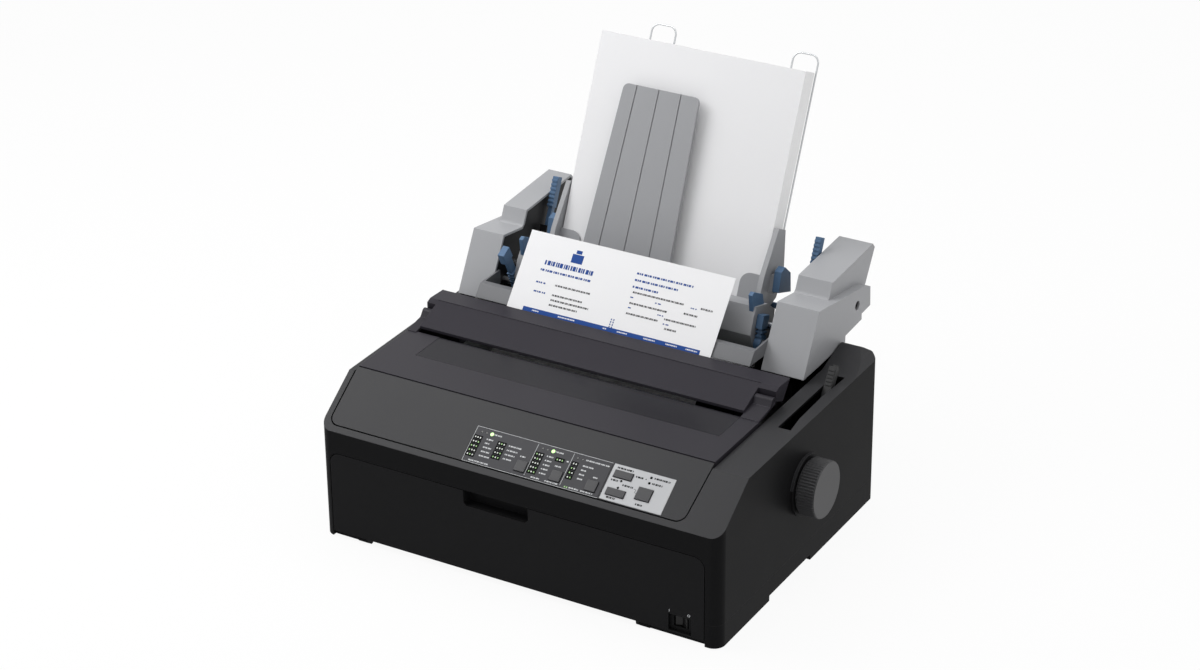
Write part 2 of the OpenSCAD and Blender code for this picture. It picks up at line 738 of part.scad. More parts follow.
module lid_frame()
    color("#3b3b40") {
        difference() {
            union() {
                box(lid_x0, lid_x1, lid_y0, lid_y1, lid_top - lid_t, lid_top);
                difference() {
                    box(lid_x0, lid_x1, lid_y0, lid_y1, lid_low, lid_top);
                    box(lid_x0 + lid_t, lid_x1 - lid_t, lid_y0 + lid_t, lid_y1 + cut, lid_low - cut,
                        lid_top);
                }
            }
            box(window_x0, window_x1, window_y0, lid_y1 + cut, lid_top - window_t, lid_top + cut);
            box(window_x0 + 2, window_x1 - 2, window_y0 + 2, lid_y1 - 2, lid_low, lid_top);
        }
        difference() {
            union() {
                for (x = [[lid_x0, arm_l1], [arm_r0, lid_x1]]) {
                    along_x(x[0], x[1], arm_points);
                    rod_x(x[0], x[1], hinge, barrel_r);
                }
            }
            rod_x(lid_x0 - cut, lid_x1 + cut, hinge, lid_pin_r + run);
        }
    }

module lid_window()
    color("#1a1a1f", 0.6)
        box(window_x0 + 0.1, window_x1 - 0.1, window_y0 + 0.1, lid_y1, lid_top - window_t,
            lid_top - 0.1);

lip = [-8, lip_z];
unit_low = [32.6, 149];
unit_t = 2.4;
unit_x = [arm_l1 + gap, arm_r0 - gap];
unit_end_y = hinge[0] + barrel_r + 1;
unit_leg_w = 9;
frame_top = 125;

module tension_unit()
    color("#37373c") {
        along_x(unit_x[0], unit_x[1], [lip - [0, 2.8], lip, [ridge_y, ridge_z], unit_back, unit_low,
            unit_low + [-unit_t, 0.9], unit_back + [-3.6, -unit_t], [ridge_y + 0.4, ridge_z - unit_t],
            lip + [3.4, -1.6], lip + [2.2, -2.8]]);
        // bead along the ridge
        along_x(unit_x[0], unit_x[1], [[ridge_y - 1.2, ridge_z - 0.9], [ridge_y - 0.8, ridge_z + 0.5],
            [ridge_y + 0.6, ridge_z + 0.5], [ridge_y + 1, ridge_z - 0.9]]);
        for (x = [unit_x[0], unit_x[1] - unit_t])
            along_x(x, x + unit_t, [lip - [0, 2.8], lip, [ridge_y, ridge_z], unit_back, unit_low,
                [hinge[0], unit_low[1]]]);
        for (x = [[lid_x0 + 0.2, unit_x[0] + 1], [unit_x[1] - 1, lid_x1 - 0.4]])
            along_x(x[0], x[1], [[unit_end_y, 155], [unit_end_y, ridge_z - 2.2],
                [ridge_y, ridge_z], unit_back, unit_low]);
        rod_x(lid_x0 + 0.2, unit_x[0] + 1, hinge, lid_pin_r);
        rod_x(unit_x[1] - 1, lid_x1 - 0.4, hinge, lid_pin_r);
        for (x = [frame_lx - frame_t, frame_rx + frame_t - unit_leg_w])
            box(x, x + unit_leg_w, ridge_y - 3, ridge_y + 9, frame_top, ridge_z - unit_t + 0.3);
    }

module platen_roller()
    color("#141414") {
        rod_x(platen_x0, platen_x0 + platen_l, platen, platen_r, 96);
        rod_x(gear_x - 3, knob_x + 12, platen, platen_shaft_r);
    }

module platen_knob()
    color("#2c2d30") difference() {
        union() {
            rod_x(knob_x + 1.5, knob_x + knob_l, platen, knob_r - 0.9, 96);
            rod_x(knob_x, knob_x + 1.5, platen, knob_r - 2, 96);
            translate([knob_x + 2, platen[0], platen[1]]) rotate([90, 0, 90])
                linear_extrude(knob_l - 3) polygon([for (i = [0 : 2 * knob_ribs - 1])
                    (knob_r - (i % 2 == 0 ? 0 : 1.1)) * [cos(i * 180 / knob_ribs),
                                                        sin(i * 180 / knob_ribs)]]);
        }
        rod_x(knob_x - cut, knob_x + 12, platen, platen_shaft_r);
        difference() {
            rod_x(knob_x - cut, knob_x + knob_l - 3, platen, knob_r - 4);
            rod_x(knob_x - 2 * cut, knob_x + knob_l, platen, platen_shaft_r + 3);
        }
    }

module platen_gear()
    color("#d9d6cc") gear(platen, platen_teeth, platen_a, gear_x, gear_w, platen_shaft_r);

module idler_gear_a()
    color("#d9d6cc") gear(idler_a_at, idler_a_teeth, idler_a_a, gear_x, gear_w, gear_bore_r);

module idler_gear_b()
    color("#d9d6cc") gear(idler_b_at, idler_b_teeth, idler_b_a, gear_x, gear_w, gear_bore_r);

module feed_gear()
    color("#d9d6cc") gear(feed_at, feed_teeth, feed_a, gear_x, gear_w, feed_r);

// The motor of the paper feed on the left side frame, and the motor of the carriage belt.
module drive_motors()
    color("#77797c") {
        difference() {
            union() {
                rod_x(frame_lx, frame_lx + motor_l, pinion_at, motor_r);
                rod_x(gear_x, frame_lx + 1, pinion_at, motor_shaft_r);
            }
            rod_x(frame_lx + motor_l - 3, frame_lx + motor_l + cut, pinion_at, motor_r * 0.4);
        }
        rod_z(pulley_x[0], belt_y, floor_top, belt_z - 8, 20);
        rod_z(pulley_x[0], belt_y, belt_z - 9, belt_z + belt_h + 3, 2.5);
    }

module motor_pinion()
    color("#c9a227") gear(pinion_at, pinion_teeth, motor_a, gear_x, gear_w, motor_shaft_r + run);

// Outline of a side frame, in [y, z].
frame_points = [[-92, floor_top], [-92, 100], [-60, 112], [-8, 112], [ridge_y - 6, frame_top],
                [ridge_y + 12, frame_top], [66, 116], [peg_at[0] - 8, peg_at[1] + 6],
                [peg_at[0] + 8, peg_at[1] + 6], [peg_at[0] + 14, 110], [118, floor_top]];

module side_frame(x, flange)
    difference() {
        union() {
            along_x(x, x + frame_t, frame_points);
            box(flange[0], flange[1], -92, 118, floor_top, floor_top + frame_t);
        }
        rod_x(x - cut, x + frame_t + cut, platen, platen_shaft_r + run);
        rod_x(x - cut, x + frame_t + cut, rail_at, rail_r + run);
        box(x - cut, x + frame_t + cut, 40, 100, 30, 72);
        box(flange[0] - cut, flange[1] + cut, -60, 100, floor_top - cut, floor_top + frame_t + cut);
        along_x(x - cut, x + frame_t + cut, [[-80, 30], [-80, 52], [-40, 52], [-40, 30]]);
    }

module side_frame_left()
    color("#a4a8ab") {
        difference() {
            side_frame(frame_lx - frame_t, [frame_lx - 12, frame_lx]);
            rod_x(frame_lx - frame_t - cut, frame_lx + cut, pinion_at, motor_shaft_r + 1);
        }
        for (p = [idler_a_at, idler_b_at]) {
            rod_x(gear_x - 0.5, frame_lx - frame_t + 0.5, p, gear_bore_r - run);
            rod_x(gear_x - 2, gear_x - 0.4, p, gear_bore_r + 1.5);
            rod_x(gear_x + gear_w + 0.4, frame_lx - frame_t + 0.5, p, gear_bore_r + 2);
        }
        rod_x(frame_lx - 0.5, plate_l[1] + 1.5, peg_at, peg_r);
    }

module side_frame_right()
    color("#a4a8ab") {
        side_frame(frame_rx, [frame_rx, frame_rx + 8]);
        rod_x(plate_r[0] - 1.5, frame_rx + 0.5, peg_at, peg_r);
        // bracket of the idler pulley
        box(pulley_x[1] - 8, frame_rx + 0.5, belt_y - 8, belt_y + 8, belt_z - 6, belt_z - 3);
        rod_z(pulley_x[1], belt_y, belt_z - 4, belt_z + belt_h + 3, 2.5 - run);
    }

module carriage_rail()
    color("#c6c9cc") rod_x(frame_lx - frame_t, frame_rx + frame_t, rail_at, rail_r);

clamp_w = 16;
carriage_y = [belt_y + belt_r + belt_t + gap, -28];
carriage_top = 80;

module carriage()
    color("#3a3c40") difference() {
        union() {
            box(carriage_x - carriage_w / 2, carriage_x + carriage_w / 2, carriage_y[0],
                carriage_y[1], 60, carriage_top);
            box(carriage_x - clamp_w / 2, carriage_x + clamp_w / 2, belt_y + belt_r - gap - 2.4,
                carriage_y[0] + 1, belt_z - 1, belt_z + belt_h + 4);
        }
        box(carriage_x - clamp_w, carriage_x + clamp_w, belt_y + belt_r - gap,
            carriage_y[0], belt_z - 2 * cut, belt_z + belt_h + gap);
        rod_x(carriage_x - carriage_w, carriage_x + carriage_w, rail_at, rail_r + run);
        box(carriage_x - carriage_w / 2 + 8, carriage_x + carriage_w / 2 - 8, rail_at[0] - 12,
            rail_at[0] + 12, 59, rail_at[1] + 3);
    }

module print_head()
    color("#55585c") difference() {
        union() {
            box(carriage_x - 15, carriage_x + 15, -54, -30, carriage_top, carriage_top + 22);
            along_x(carriage_x - 9, carriage_x + 9, [[-31, carriage_top + 1], [-31, carriage_top + 16],
                [-16, carriage_top + 10], [-10.8, carriage_top + 8.5], [-10.8, carriage_top + 5.5],
                [-16, carriage_top + 3]]);
        }
        for (i = [0 : 4])
            box(carriage_x - 16, carriage_x + 16, -51 + i * 4, -49 + i * 4, carriage_top + 8,
                carriage_top + 23);
    }

module ribbon_cartridge()
    color("#1d1e20") difference() {
        union() {
            box(frame_lx, frame_rx, -90, -64, 90, 98);
            box(frame_lx + 14, frame_rx - 22, -88, -58, 97, 112);
        }
        box(frame_lx + 30, frame_rx - 40, -80, -57, 96, 99);
        rod_z(frame_lx + 32, -73, 106, 113, 6);
    }

module pulley(x)
    difference() {
        union() {
            rod_z(x, belt_y, belt_z - 2, belt_z + belt_h + 2, pulley_r);
            rod_z(x, belt_y, belt_z - 2, belt_z - 0.5, pulley_r + belt_t + 1.5);
            rod_z(x, belt_y, belt_z + belt_h + 0.5, belt_z + belt_h + 2, pulley_r + belt_t + 1.5);
        }
        rod_z(x, belt_y, belt_z - 3, belt_z + belt_h + 3, 2.5 + (x < 0 ? run : 0));
    }

module drive_pulley()
    color("#c8cacc") pulley(pulley_x[0]);

module idler_pulley()
    color("#c8cacc") pulley(pulley_x[1]);

module belt_loop(r)
    translate([0, belt_y]) {
        for (x = pulley_x)
            translate([x, 0]) circle(r);
        translate([pulley_x[0], -r]) square([pulley_x[1] - pulley_x[0], 2 * r]);
    }

module timing_belt()
    color("#101010") translate([0, 0, belt_z]) linear_extrude(belt_h) difference() {
        belt_loop(belt_r + belt_t);
        belt_loop(belt_r);
    }

board_x = [left_x + 51, socket_x[1] + 4];
board_t = 1.6;

module main_board()
    color("#1f5a36") {
        box(board_x[0], board_x[1], 12, 126, board_z, board_z + board_t);
        for (p = [[36, 60, 24, 24], [86, 40, 34, 14], [86, 70, 34, 14], [136, 50, 28, 28]])
            box(board_x[0] + p[0], board_x[0] + p[0] + p[2], p[1], p[1] + p[3],
                board_z + board_t - 0.1, board_z + board_t + 3);
        for (d = [36, 52, 68])
            rod_z(board_x[0] + d, 104, board_z + board_t - 0.1, board_z + board_t + 14, 6);
    }

module power_supply()
    color("#b4b7ba") difference() {
        box(right_x - 64, right_x - 8, -86, 100, supply_z, 58);
        for (i = [0 : 9])
            box(right_x - 58, right_x - 14, -76 + i * 17, -68 + i * 17, 57, 59);
        box(right_x - 62.5, right_x - 9.5, -84.5, 98.5, supply_z + 1.5, 56.5);
    }

module mains_inlet()
    color("#161616") {
        difference() {
            union() {
                box(inlet_x - 13.6, inlet_x + 13.6, rear_y - 28, rear_y + 1, inlet_z - 9.6,
                    inlet_z + 9.6);
                box(inlet_x - 18, inlet_x + 18, rear_y, rear_y + 2, inlet_z - 13, inlet_z + 13);
            }
            box(inlet_x - 12, inlet_x + 12, rear_y - 16, rear_y + 3, inlet_z - 8, inlet_z + 8);
        }
        for (p = [[-7, -1.5], [0, 2], [7, -1.5]])
            box(inlet_x + p[0] - 1, inlet_x + p[0] + 1, rear_y - 17, rear_y - 4, inlet_z + p[1] - 2,
                inlet_z + p[1] + 2);
    }

module interface_sockets()
    color("#8d9094") {
        for (x = [[socket_x[0] + 3, socket_x[0] + 43, 12], [socket_x[0] + 48, socket_x[1] - 2, 14]])
            difference() {
                box(x[0], x[1], rear_y - 34, rear_y - 0.4, board_z + board_t, board_z + board_t + x[2]);
                box(x[0] + 2, x[1] - 2, rear_y - 12, rear_y + 1, board_z + board_t + 2,
                    board_z + board_t + x[2] - 2);
            }
    }

lever_tip = [95, 160];
lever_a = bearing(lever_at, lever_tip);
lever_l = norm(lever_tip - lever_at);

module release_lever()
    color("#6c6d6f") translate([0, lever_at[0], lever_at[1]]) rotate([lever_a, 0, 0])
        difference() {
            union() {
                rod_x(lever_x[0], lever_x[1], [0, 0], lever_pin_r + 4);
                box(lever_x[0] + 2, lever_x[1] - 2, 0, 66, -3, 3);
                box(lever_x[0], lever_x[1], 62, lever_l, -3.4, 3.4);
                box(lever_x[0] + 2, lever_x[1] - 2, lever_l - 4, lever_l + 2, -6.4, 0);
                for (i = [0 : 4])
                    box(lever_x[0] + 1, lever_x[1] - 1, lever_l - 18 + i * 3.4, lever_l - 16 + i * 3.4,
                        2.4, 4.2);
            }
            rod_x(lever_x[0] - cut, lever_x[1] + cut, [0, 0], lever_pin_r + run);
        }

// Side view of a feeder cover: the lower block and the block on top of it.
low_block = [[73, 151.3], [104, 207], [200, 192], [210, 187], [211, 167], [193, 166], [193, 160],
             [159, 158], [159, 151.5]];
top_block = [[132, 198], [140, 204], [146, 216], [230, 220.5], [234, 215.5], [215.5, 185],
             [204, 180]];
skirt_z = deck_z + 0.7;
cover_eye = [183, 178.6];

// A feeder cover from its open inner side at x0 to its outer side at x1, where s is the way out.
module feeder_cover(x0, x1, s) {
    xt = x1 - s * block_inset;
    difference() {
        union() {
            along_x(min(x0, x1), max(x0, x1), low_block);
            along_x(min(x0, xt), max(x0, xt), top_block);
        }
        along_x(min(x0 - s * cut, x1 - s * cover_t), max(x0 - s * cut, x1 - s * cover_t),
                inset(low_block, cover_t));
        along_x(min(x0 - s * cut, xt - s * cover_t), max(x0 - s * cut, xt - s * cover_t),
                inset(top_block, cover_t));
        box(min(x0 - s * cut, x1 - s * 7), max(x0 - s * cut, x1 - s * 7), 76.2, 156, 150, 154);
        rod_x(x1 - s * cover_t - 3, x1 - s * cover_t + 3, cover_eye, 4.6);
    }
    // skirt towards the deck, and spacers against the inner plate
    for (d = [x1 - s * 5])
        box(min(d, d + s * 2), max(d, d + s * 2), 79, 155, skirt_z, 153);
    for (p = [[91, 166, x1], [150, 188, x1], [214, 206, xt]])
        rod_x(min(x0 + s * (1 + plate_t), p[2] - s), max(x0 + s * (1 + plate_t), p[2] - s), p, 3);
}

module feeder_cover_left()
    color("#a2a4a7") feeder_cover(feeder_x0, cover_out_l, -1);

module feeder_cover_right()
    color("#a2a4a7") feeder_cover(feeder_x1, cover_out_r, 1);

// Inner side plate of the feeder, with the hook that hangs on the peg of the side frame.
module feeder_plate(x)
    difference() {
        union() {
            along_x(x, x + plate_t, inset(low_block, cover_t + 0.2));
            along_x(x, x + plate_t, inset(top_block, cover_t + 0.2));
            along_x(x, x + plate_t, [[84, 158], [156, 158], [150, 140], [118, 120], [92, 120],
                                     [84, 140]]);
        }
        rod_x(x - cut, x + plate_t + cut, peg_at, peg_r + run);
        box(x - cut, x + plate_t + cut, peg_at[0] - peg_r - run, peg_at[0] + peg_r + run, 119,
            peg_at[1]);
        rod_x(x - cut, x + plate_t + cut, feed_at, feed_r + run);
        rod_x(x - cut, x + plate_t + cut, guide_at, guide_r + run);
        rod_x(x - cut, x + plate_t + cut, set_at, set_r + run);
    }

wire_y = hopper_t0 + hopper_t + 0.4 + wire_r;
wire_x = [paper_x0 + 40, paper_x1 - wire_w]; // left leg of each wire support
wire_top = paper_l + 16;
wire_low = 72;
wing_s = 45;

module feeder_frame()
    color("#303236") {
        feeder_plate(plate_l[0]);
        feeder_plate(plate_r[0]);
        on_stack() {
            difference() {
                box(paper_x0, paper_x1, hopper_t0, hopper_t0 + hopper_t, -2.3, hopper_top);
                box(paper_x0 + 30, paper_x1 - 30, hopper_t0 - cut, hopper_t0 + hopper_t + cut,
                    36, 66);
            }
            box(plate_l[1] - 0.5, plate_r[0] + 0.5, hopper_t0, hopper_t0 + hopper_t, -2.3, 26);
            for (x = [[plate_l[1] - 0.5, paper_x0 - 1], [paper_x1 + 1, plate_r[0] + 0.5]])
                box(x[0], x[1], hopper_t0, hopper_t0 + hopper_t, 20, wing_s);
            for (x = [[feeder_x0 + gap, paper_x0 - 28], [paper_x1 + 28, feeder_x1 - gap]])
                box(x[0], x[1], hopper_t0, hopper_t0 + hopper_t, 20, 84);
            box(paper_x0, paper_x1, -1, hopper_t0 + 0.5, -2.3, -0.3);
            for (x0 = wire_x)
                for (x = [x0, x0 + wire_w])
                    difference() {
                        box(x - 3, min(x + 3, paper_x1 + 0.3), hopper_t0 + hopper_t - 0.5,
                            wire_y + 2.6, wire_low + 6, hopper_top);
                        translate([x, wire_y, 0]) cylinder(h = hopper_top + cut, r = wire_r + run);
                    }
        }
    }

beam_front = [53, 167.5];

module front_beam()
    color("#9a9c9f") {
        along_x(feeder_x0, feeder_x1, [beam_front + [-2.4, -3.1], beam_front, beam_front + [7, 8],
            beam_front + [13, 8], beam_front + [13, 6], beam_front + [8, 5.6],
            beam_front + [1.6, -1.6], beam_front + [1.6, -3.1]]);
        for (x = [feeder_x0, feeder_x1 - plate_t])
            along_x(x, x + plate_t, [beam_front + [-2.4, -3.1], beam_front, beam_front + [7, 8],
                beam_front + [40, 8], beam_front + [40, -6]]);
        // pins to the side plates
        rod_x(plate_l[1], feeder_x0 + 1, beam_front + [37, 1], 2.6);
        rod_x(feeder_x1 - 1, plate_r[0], beam_front + [37, 1], 2.6);
    }

module feed_shaft()
    color("#c6c9cc") rod_x(gear_x - 3, plate_r[1] + 3, feed_at, feed_r);

module guide_shaft()
    color("#c6c9cc") difference() {
        rod_x(plate_l[0] - 2, plate_r[1] + 2, guide_at, guide_r);
        rod_x(plate_l[0] - 3, plate_l[0] + 4, guide_at, 1.2);
    }

paper_xc = (paper_x0 + paper_x1) / 2;
guide_mid = paper_x1 - 4;                   // middle of the right roller cover
roller_x = guide_mid - 10;

// The right pick roller, then the left one, by a mirror image about the paper.
module right_and_left(i)
    translate([i * 2 * paper_xc, 0, 0]) mirror([i, 0, 0]) children();

module pick_roller(i)
    color("#3b3c3e") right_and_left(i) difference() {
        rod_x(roller_x - roller_w / 2, roller_x + roller_w / 2, feed_at, roller_r);
        rod_x(roller_x - roller_w, roller_x + roller_w, feed_at, feed_r + run);
    }

hood_skin = 2.6;
cheek_t = 3;
guide_gap = 0.7;                            // from a guide to the face of the paper
hood_points = [[99, 153], [92, 172], [98, 188], [104, 196], [126, 190], [141, 178], [134, 150],
               [110, 148]];
fin_points = [[128, 182], [135.6, 194.5], [141.4, 206.7], [170.8, 244.3], [184, 238],
              [181.5, 194.6], [166.6, 175.7], [140, 168]];
lobe_s = [57, 87];

module sheet_guide(i)
    color("#8f9194") right_and_left(i) {
        x0 = guide_mid - guide_w / 2;
        x1 = guide_mid + guide_w / 2;
        // cover over the pick roller, in front of the paper
        difference() {
            union() {
                difference() {
                    along_x(x0, x1, hood_points);
                    along_x(x0 + cheek_t, x1 - cheek_t, inset(hood_points, hood_skin));
                }
                for (x = [x0, x1 - cheek_t - 3])
                    rod_x(x, x + cheek_t + 3, guide_at, guide_r + 2.6);
            }
            rod_x(x0 + cheek_t, x1 - cheek_t, feed_at, roller_r + 2);
            rod_x(x0 - cut, x1 + cut, feed_at, feed_r + run);
            rod_x(x0 - cut, x1 + cut, guide_at, guide_r + run);
            on_stack() box(x0 - cut, paper_x1 + 0.8, -guide_gap, 60, -40, 90);
        }
        // finger on the face of the paper
        on_stack() along_y(-guide_gap - 1.6, -guide_gap, concat(
            arc([x0 + 14, lobe_s[1] - 10], 10, 180, 90, 6),
            [[paper_x1 + 2, lobe_s[1]], [paper_x1 + 2, lobe_s[0]], [x0 + 4, lobe_s[0]]]));
        // fin beside the paper, and its finger grips
        along_x(paper_x1 + 1, paper_x1 + 1 + fin_t, fin_points);
        along_x(paper_x1 + 5, guide_mid + 15, [[150, 188], [156, 204], [168, 200], [172, 184]]);
        along_x(guide_mid + 14, x1 - 1, [[155, 209], [163, 211], [174, 201], [175, 181], [150, 190]]);
        along_x(x1 - 6, x1 - 2, [[101, 192], [99, 209], [103, 211], [120, 202], [123, 189]]);
    }

module lock_lever(i, lean, len)
    color("#55738f") right_and_left(i) {
        x0 = guide_mid + guide_w / 2 + gap;
        translate([0, guide_at[0], guide_at[1]]) rotate([-lean, 0, 0]) difference() {
            union() {
                rod_x(x0, x0 + lock_w, [0, 0], guide_r + 3);
                box(x0 + 1.4, x0 + lock_w - 1.4, -5, 3, 0, len - 1);
                box(x0, x0 + lock_w, -8, 4, len - 13, len);
                for (k = [0 : 3])
                    box(x0, x0 + lock_w, -6, 4, 6 + k * 4, 8 + k * 4);
                box(x0 + 1, x0 + lock_w - 1, -6, 1, -13, 0);
            }
            rod_x(x0 - cut, x0 + lock_w + cut, [0, 0], guide_r + run);
        }
    }

module set_levers()
    color("#55738f") {
        rod_x(plate_l[0] - 2, plate_r[1] + 2, set_at, set_r);
        for (x = [plate_l[1] + 2, plate_r[0] - 2 - set_w])
            translate([0, set_at[0], set_at[1]]) rotate([-set_lean, 0, 0]) {
                box(x + 1, x + set_w - 1, -3, 3, 0, set_l - 1);
                box(x, x + set_w, -4, 3.4, set_l - 30, set_l);
                for (k = [0 : 6])
                    box(x, x + set_w, -5, 0, set_l - 29 + k * 4, set_l - 27 + k * 4);
            }
    }

support_y = [-11.5, -8.5];                  // in the stack's frame
support_s = [52, 235];
support_xc = [-53.4, -49.7];

// A point of the stack's frame, in [y, z].
function at_stack(y, z) =
    stack_foot + [y * cos(stack_lean) + z * sin(stack_lean),
                  z * cos(stack_lean) - y * sin(stack_lean)];

module centre_support()
    color("#8f9194") {
        xb = support_bottom_w / 2;
        xt = support_top_w / 2;
        on_stack() difference() {
            along_y(support_y[0], support_y[1], concat(
                [[support_xc[0] + xb, support_s[0]], [support_xc[0] - xb, support_s[0]]],
                arc([support_xc[1] - xt + 6, support_s[1] - 6], 6, 180, 90, 6),
                arc([support_xc[1] + xt - 6, support_s[1] - 6], 6, 90, 0, 6)));
            for (k = [-0.29, 0, 0.29])
                along_y(support_y[0] - cut, support_y[0] + 1, [
                    [support_xc[0] + k * support_bottom_w - 3, support_s[0] - cut],
                    [support_xc[1] + k * support_top_w - 3, support_s[1] + cut],
                    [support_xc[1] + k * support_top_w - 2, support_s[1] + cut],
                    [support_xc[0] + k * support_bottom_w - 2, support_s[0] - cut]]);
        }
        // arms that reach over the feed shaft to the guide shaft
        difference() {
            for (x = [support_xc[0] - xb + 8, support_xc[0] + xb - 20])
                along_x(x, x + 12, [at_stack(-8.6, 51), at_stack(-8.6, 62), at_stack(-30, 62),
                    at_stack(-34, 54), at_stack(-34, 21), at_stack(-20.5, 21), at_stack(-20.5, 51)]);
            rod_x(paper_x0, paper_x1, guide_at, guide_r + run);
        }
    }

wire_bend = 8;

module wire_support(i)
    color("#c6c9cc") on_stack() translate([wire_x[i], wire_y, 0]) {
        for (x = [0, wire_w])
            translate([x, 0, wire_low]) cylinder(h = wire_top - wire_bend - wire_low, r = wire_r);
        for (m = [0, 1])
            translate([m * wire_w, 0, wire_top - wire_bend]) mirror([m, 0, 0])
                translate([wire_bend, 0, 0]) rotate([90, 0, 0]) rotate([0, 0, 90])
                    rotate_extrude(angle = 90) translate([wire_bend, 0]) circle(wire_r);
        rod_x(wire_bend, wire_w - wire_bend, [0, wire_top], wire_r);
    }

module paper_stack()
    color("#f1f1f0") on_stack() box(paper_x0, paper_x1, 0, stack_t, 0, paper_l);

// The sheet lies round the front of the platen and runs up behind the tension unit.
sheet_dir = [sin(sheet_lean), cos(sheet_lean)];
sheet_off = [-cos(sheet_lean), sin(sheet_lean)];
sheet_len = (unit_back[1] - 2 - platen[1] - sheet_r * sheet_off[1]) / sheet_dir[1] + sheet_out;
sheet_wrap = [180 - sheet_lean, 235];

module printed_sheet()
    color("#f6f6f6") along_x(paper_x0, paper_x1, concat(
        arc(platen, sheet_r + sheet_t, sheet_wrap[1], sheet_wrap[0], 24),
        [platen + (sheet_r + sheet_t) * sheet_off + sheet_len * sheet_dir],
        [platen + sheet_r * sheet_off + sheet_len * sheet_dir],
        arc(platen, sheet_r, sheet_wrap[0], sheet_wrap[1], 24)));

lower_case();
rubber_feet();
upper_case();
front_panel();
control_overlay();
key_overlay();
status_lamps();
small_key(0);  // small_key_1
small_key(1);  // small_key_2
small_key(2);  // small_key_3
wide_key(0);  // wide_key_upper
wide_key(1);  // wide_key_lower
big_key();
front_door();
finger_pocket();
switch_housing();
power_rocker();
lid_frame();
lid_window();
tension_unit();
platen_roller();
platen_knob();
platen_gear();
idler_gear_a();
idler_gear_b();
feed_gear();
drive_motors();
motor_pinion();
side_frame_left();
side_frame_right();
carriage_rail();
carriage();
print_head();
ribbon_cartridge();
drive_pulley();
idler_pulley();
timing_belt();
main_board();
power_supply();
mains_inlet();
interface_sockets();
release_lever();
feeder_cover_left();
feeder_cover_right();
feeder_frame();
front_beam();
feed_shaft();
guide_shaft();
pick_roller(1);  // pick_roller_left
pick_roller(0);  // pick_roller_right
sheet_guide(1);  // sheet_guide_left
sheet_guide(0);  // sheet_guide_right
lock_lever(1, -lock_left_lean, lock_left_l);  // lock_lever_left
lock_lever(0, lock_right_lean, lock_right_l);  // lock_lever_right
set_levers();
centre_support();
wire_support(0);  // wire_support_left
wire_support(1);  // wire_support_right
paper_stack();
printed_sheet();
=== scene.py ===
import json
import math

import bpy
from mathutils import Matrix, Vector

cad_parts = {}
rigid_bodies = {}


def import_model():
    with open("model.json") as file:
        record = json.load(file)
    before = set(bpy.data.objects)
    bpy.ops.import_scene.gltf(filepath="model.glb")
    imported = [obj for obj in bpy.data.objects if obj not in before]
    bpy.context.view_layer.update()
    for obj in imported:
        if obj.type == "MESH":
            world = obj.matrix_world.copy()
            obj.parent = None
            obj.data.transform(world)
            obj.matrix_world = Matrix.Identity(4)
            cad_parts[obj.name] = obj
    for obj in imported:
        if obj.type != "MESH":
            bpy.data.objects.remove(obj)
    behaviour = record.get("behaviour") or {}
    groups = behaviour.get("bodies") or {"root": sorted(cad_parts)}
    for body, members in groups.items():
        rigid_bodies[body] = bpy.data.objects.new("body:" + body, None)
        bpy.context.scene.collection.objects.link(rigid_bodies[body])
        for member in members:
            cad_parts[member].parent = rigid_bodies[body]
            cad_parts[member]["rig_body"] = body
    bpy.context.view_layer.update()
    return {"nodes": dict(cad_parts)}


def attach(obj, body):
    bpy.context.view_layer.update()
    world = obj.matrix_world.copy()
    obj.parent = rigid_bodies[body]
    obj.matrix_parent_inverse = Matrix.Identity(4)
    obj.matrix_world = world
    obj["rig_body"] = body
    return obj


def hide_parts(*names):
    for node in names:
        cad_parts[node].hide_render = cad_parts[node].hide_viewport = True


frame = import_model()
bpy.context.scene.view_settings.view_transform = "Standard"

# ---------------------------------------------------------------- camera
# A long lens stands to the right of the printer's front and a little above it,
# so that the front, the right side and all the tops are seen together.
camera_turn = math.radians(30.35)
camera_rise = math.radians(27.08)
camera_roll = math.radians(-0.59)
camera_target = Vector((-0.000735, 0.000105, 0.18795))
camera_distance = 2.7913
camera_back = Vector((
    math.sin(camera_turn) * math.cos(camera_rise),
    -math.cos(camera_turn) * math.cos(camera_rise),
    math.sin(camera_rise),
))
level_right = (-camera_back).cross(Vector((0, 0, 1))).normalized()
level_up = level_right.cross(-camera_back)
camera_right = math.cos(camera_roll) * level_right + math.sin(camera_roll) * level_up
camera_up = -math.sin(camera_roll) * level_right + math.cos(camera_roll) * level_up
lens = bpy.data.cameras.new("camera")
lens.sensor_width = 36
lens.lens = 92.943
lens.clip_end = 50
camera = bpy.data.objects.new("camera", lens)
bpy.context.scene.collection.objects.link(camera)
camera.matrix_world = Matrix.Translation(camera_target + camera_distance * camera_back) @ Matrix(
    (camera_right, camera_up, camera_back)
).transposed().to_4x4()
bpy.context.scene.camera = camera


# ------------------------------------------------- floor, sky and lamps
# A pale table top stands in a white room. Three soft boxes light it, from the upper
# left, from straight above and from the far right, and the room fills the shadows.
def shade(code):
    """The linear colour of a #rrggbb code."""
    parts = [int(code[i:i + 2], 16) / 255 for i in (1, 3, 5)]
    return (*[p / 12.92 if p <= 0.04045 else ((p + 0.055) / 1.055) ** 2.4 for p in parts], 1)


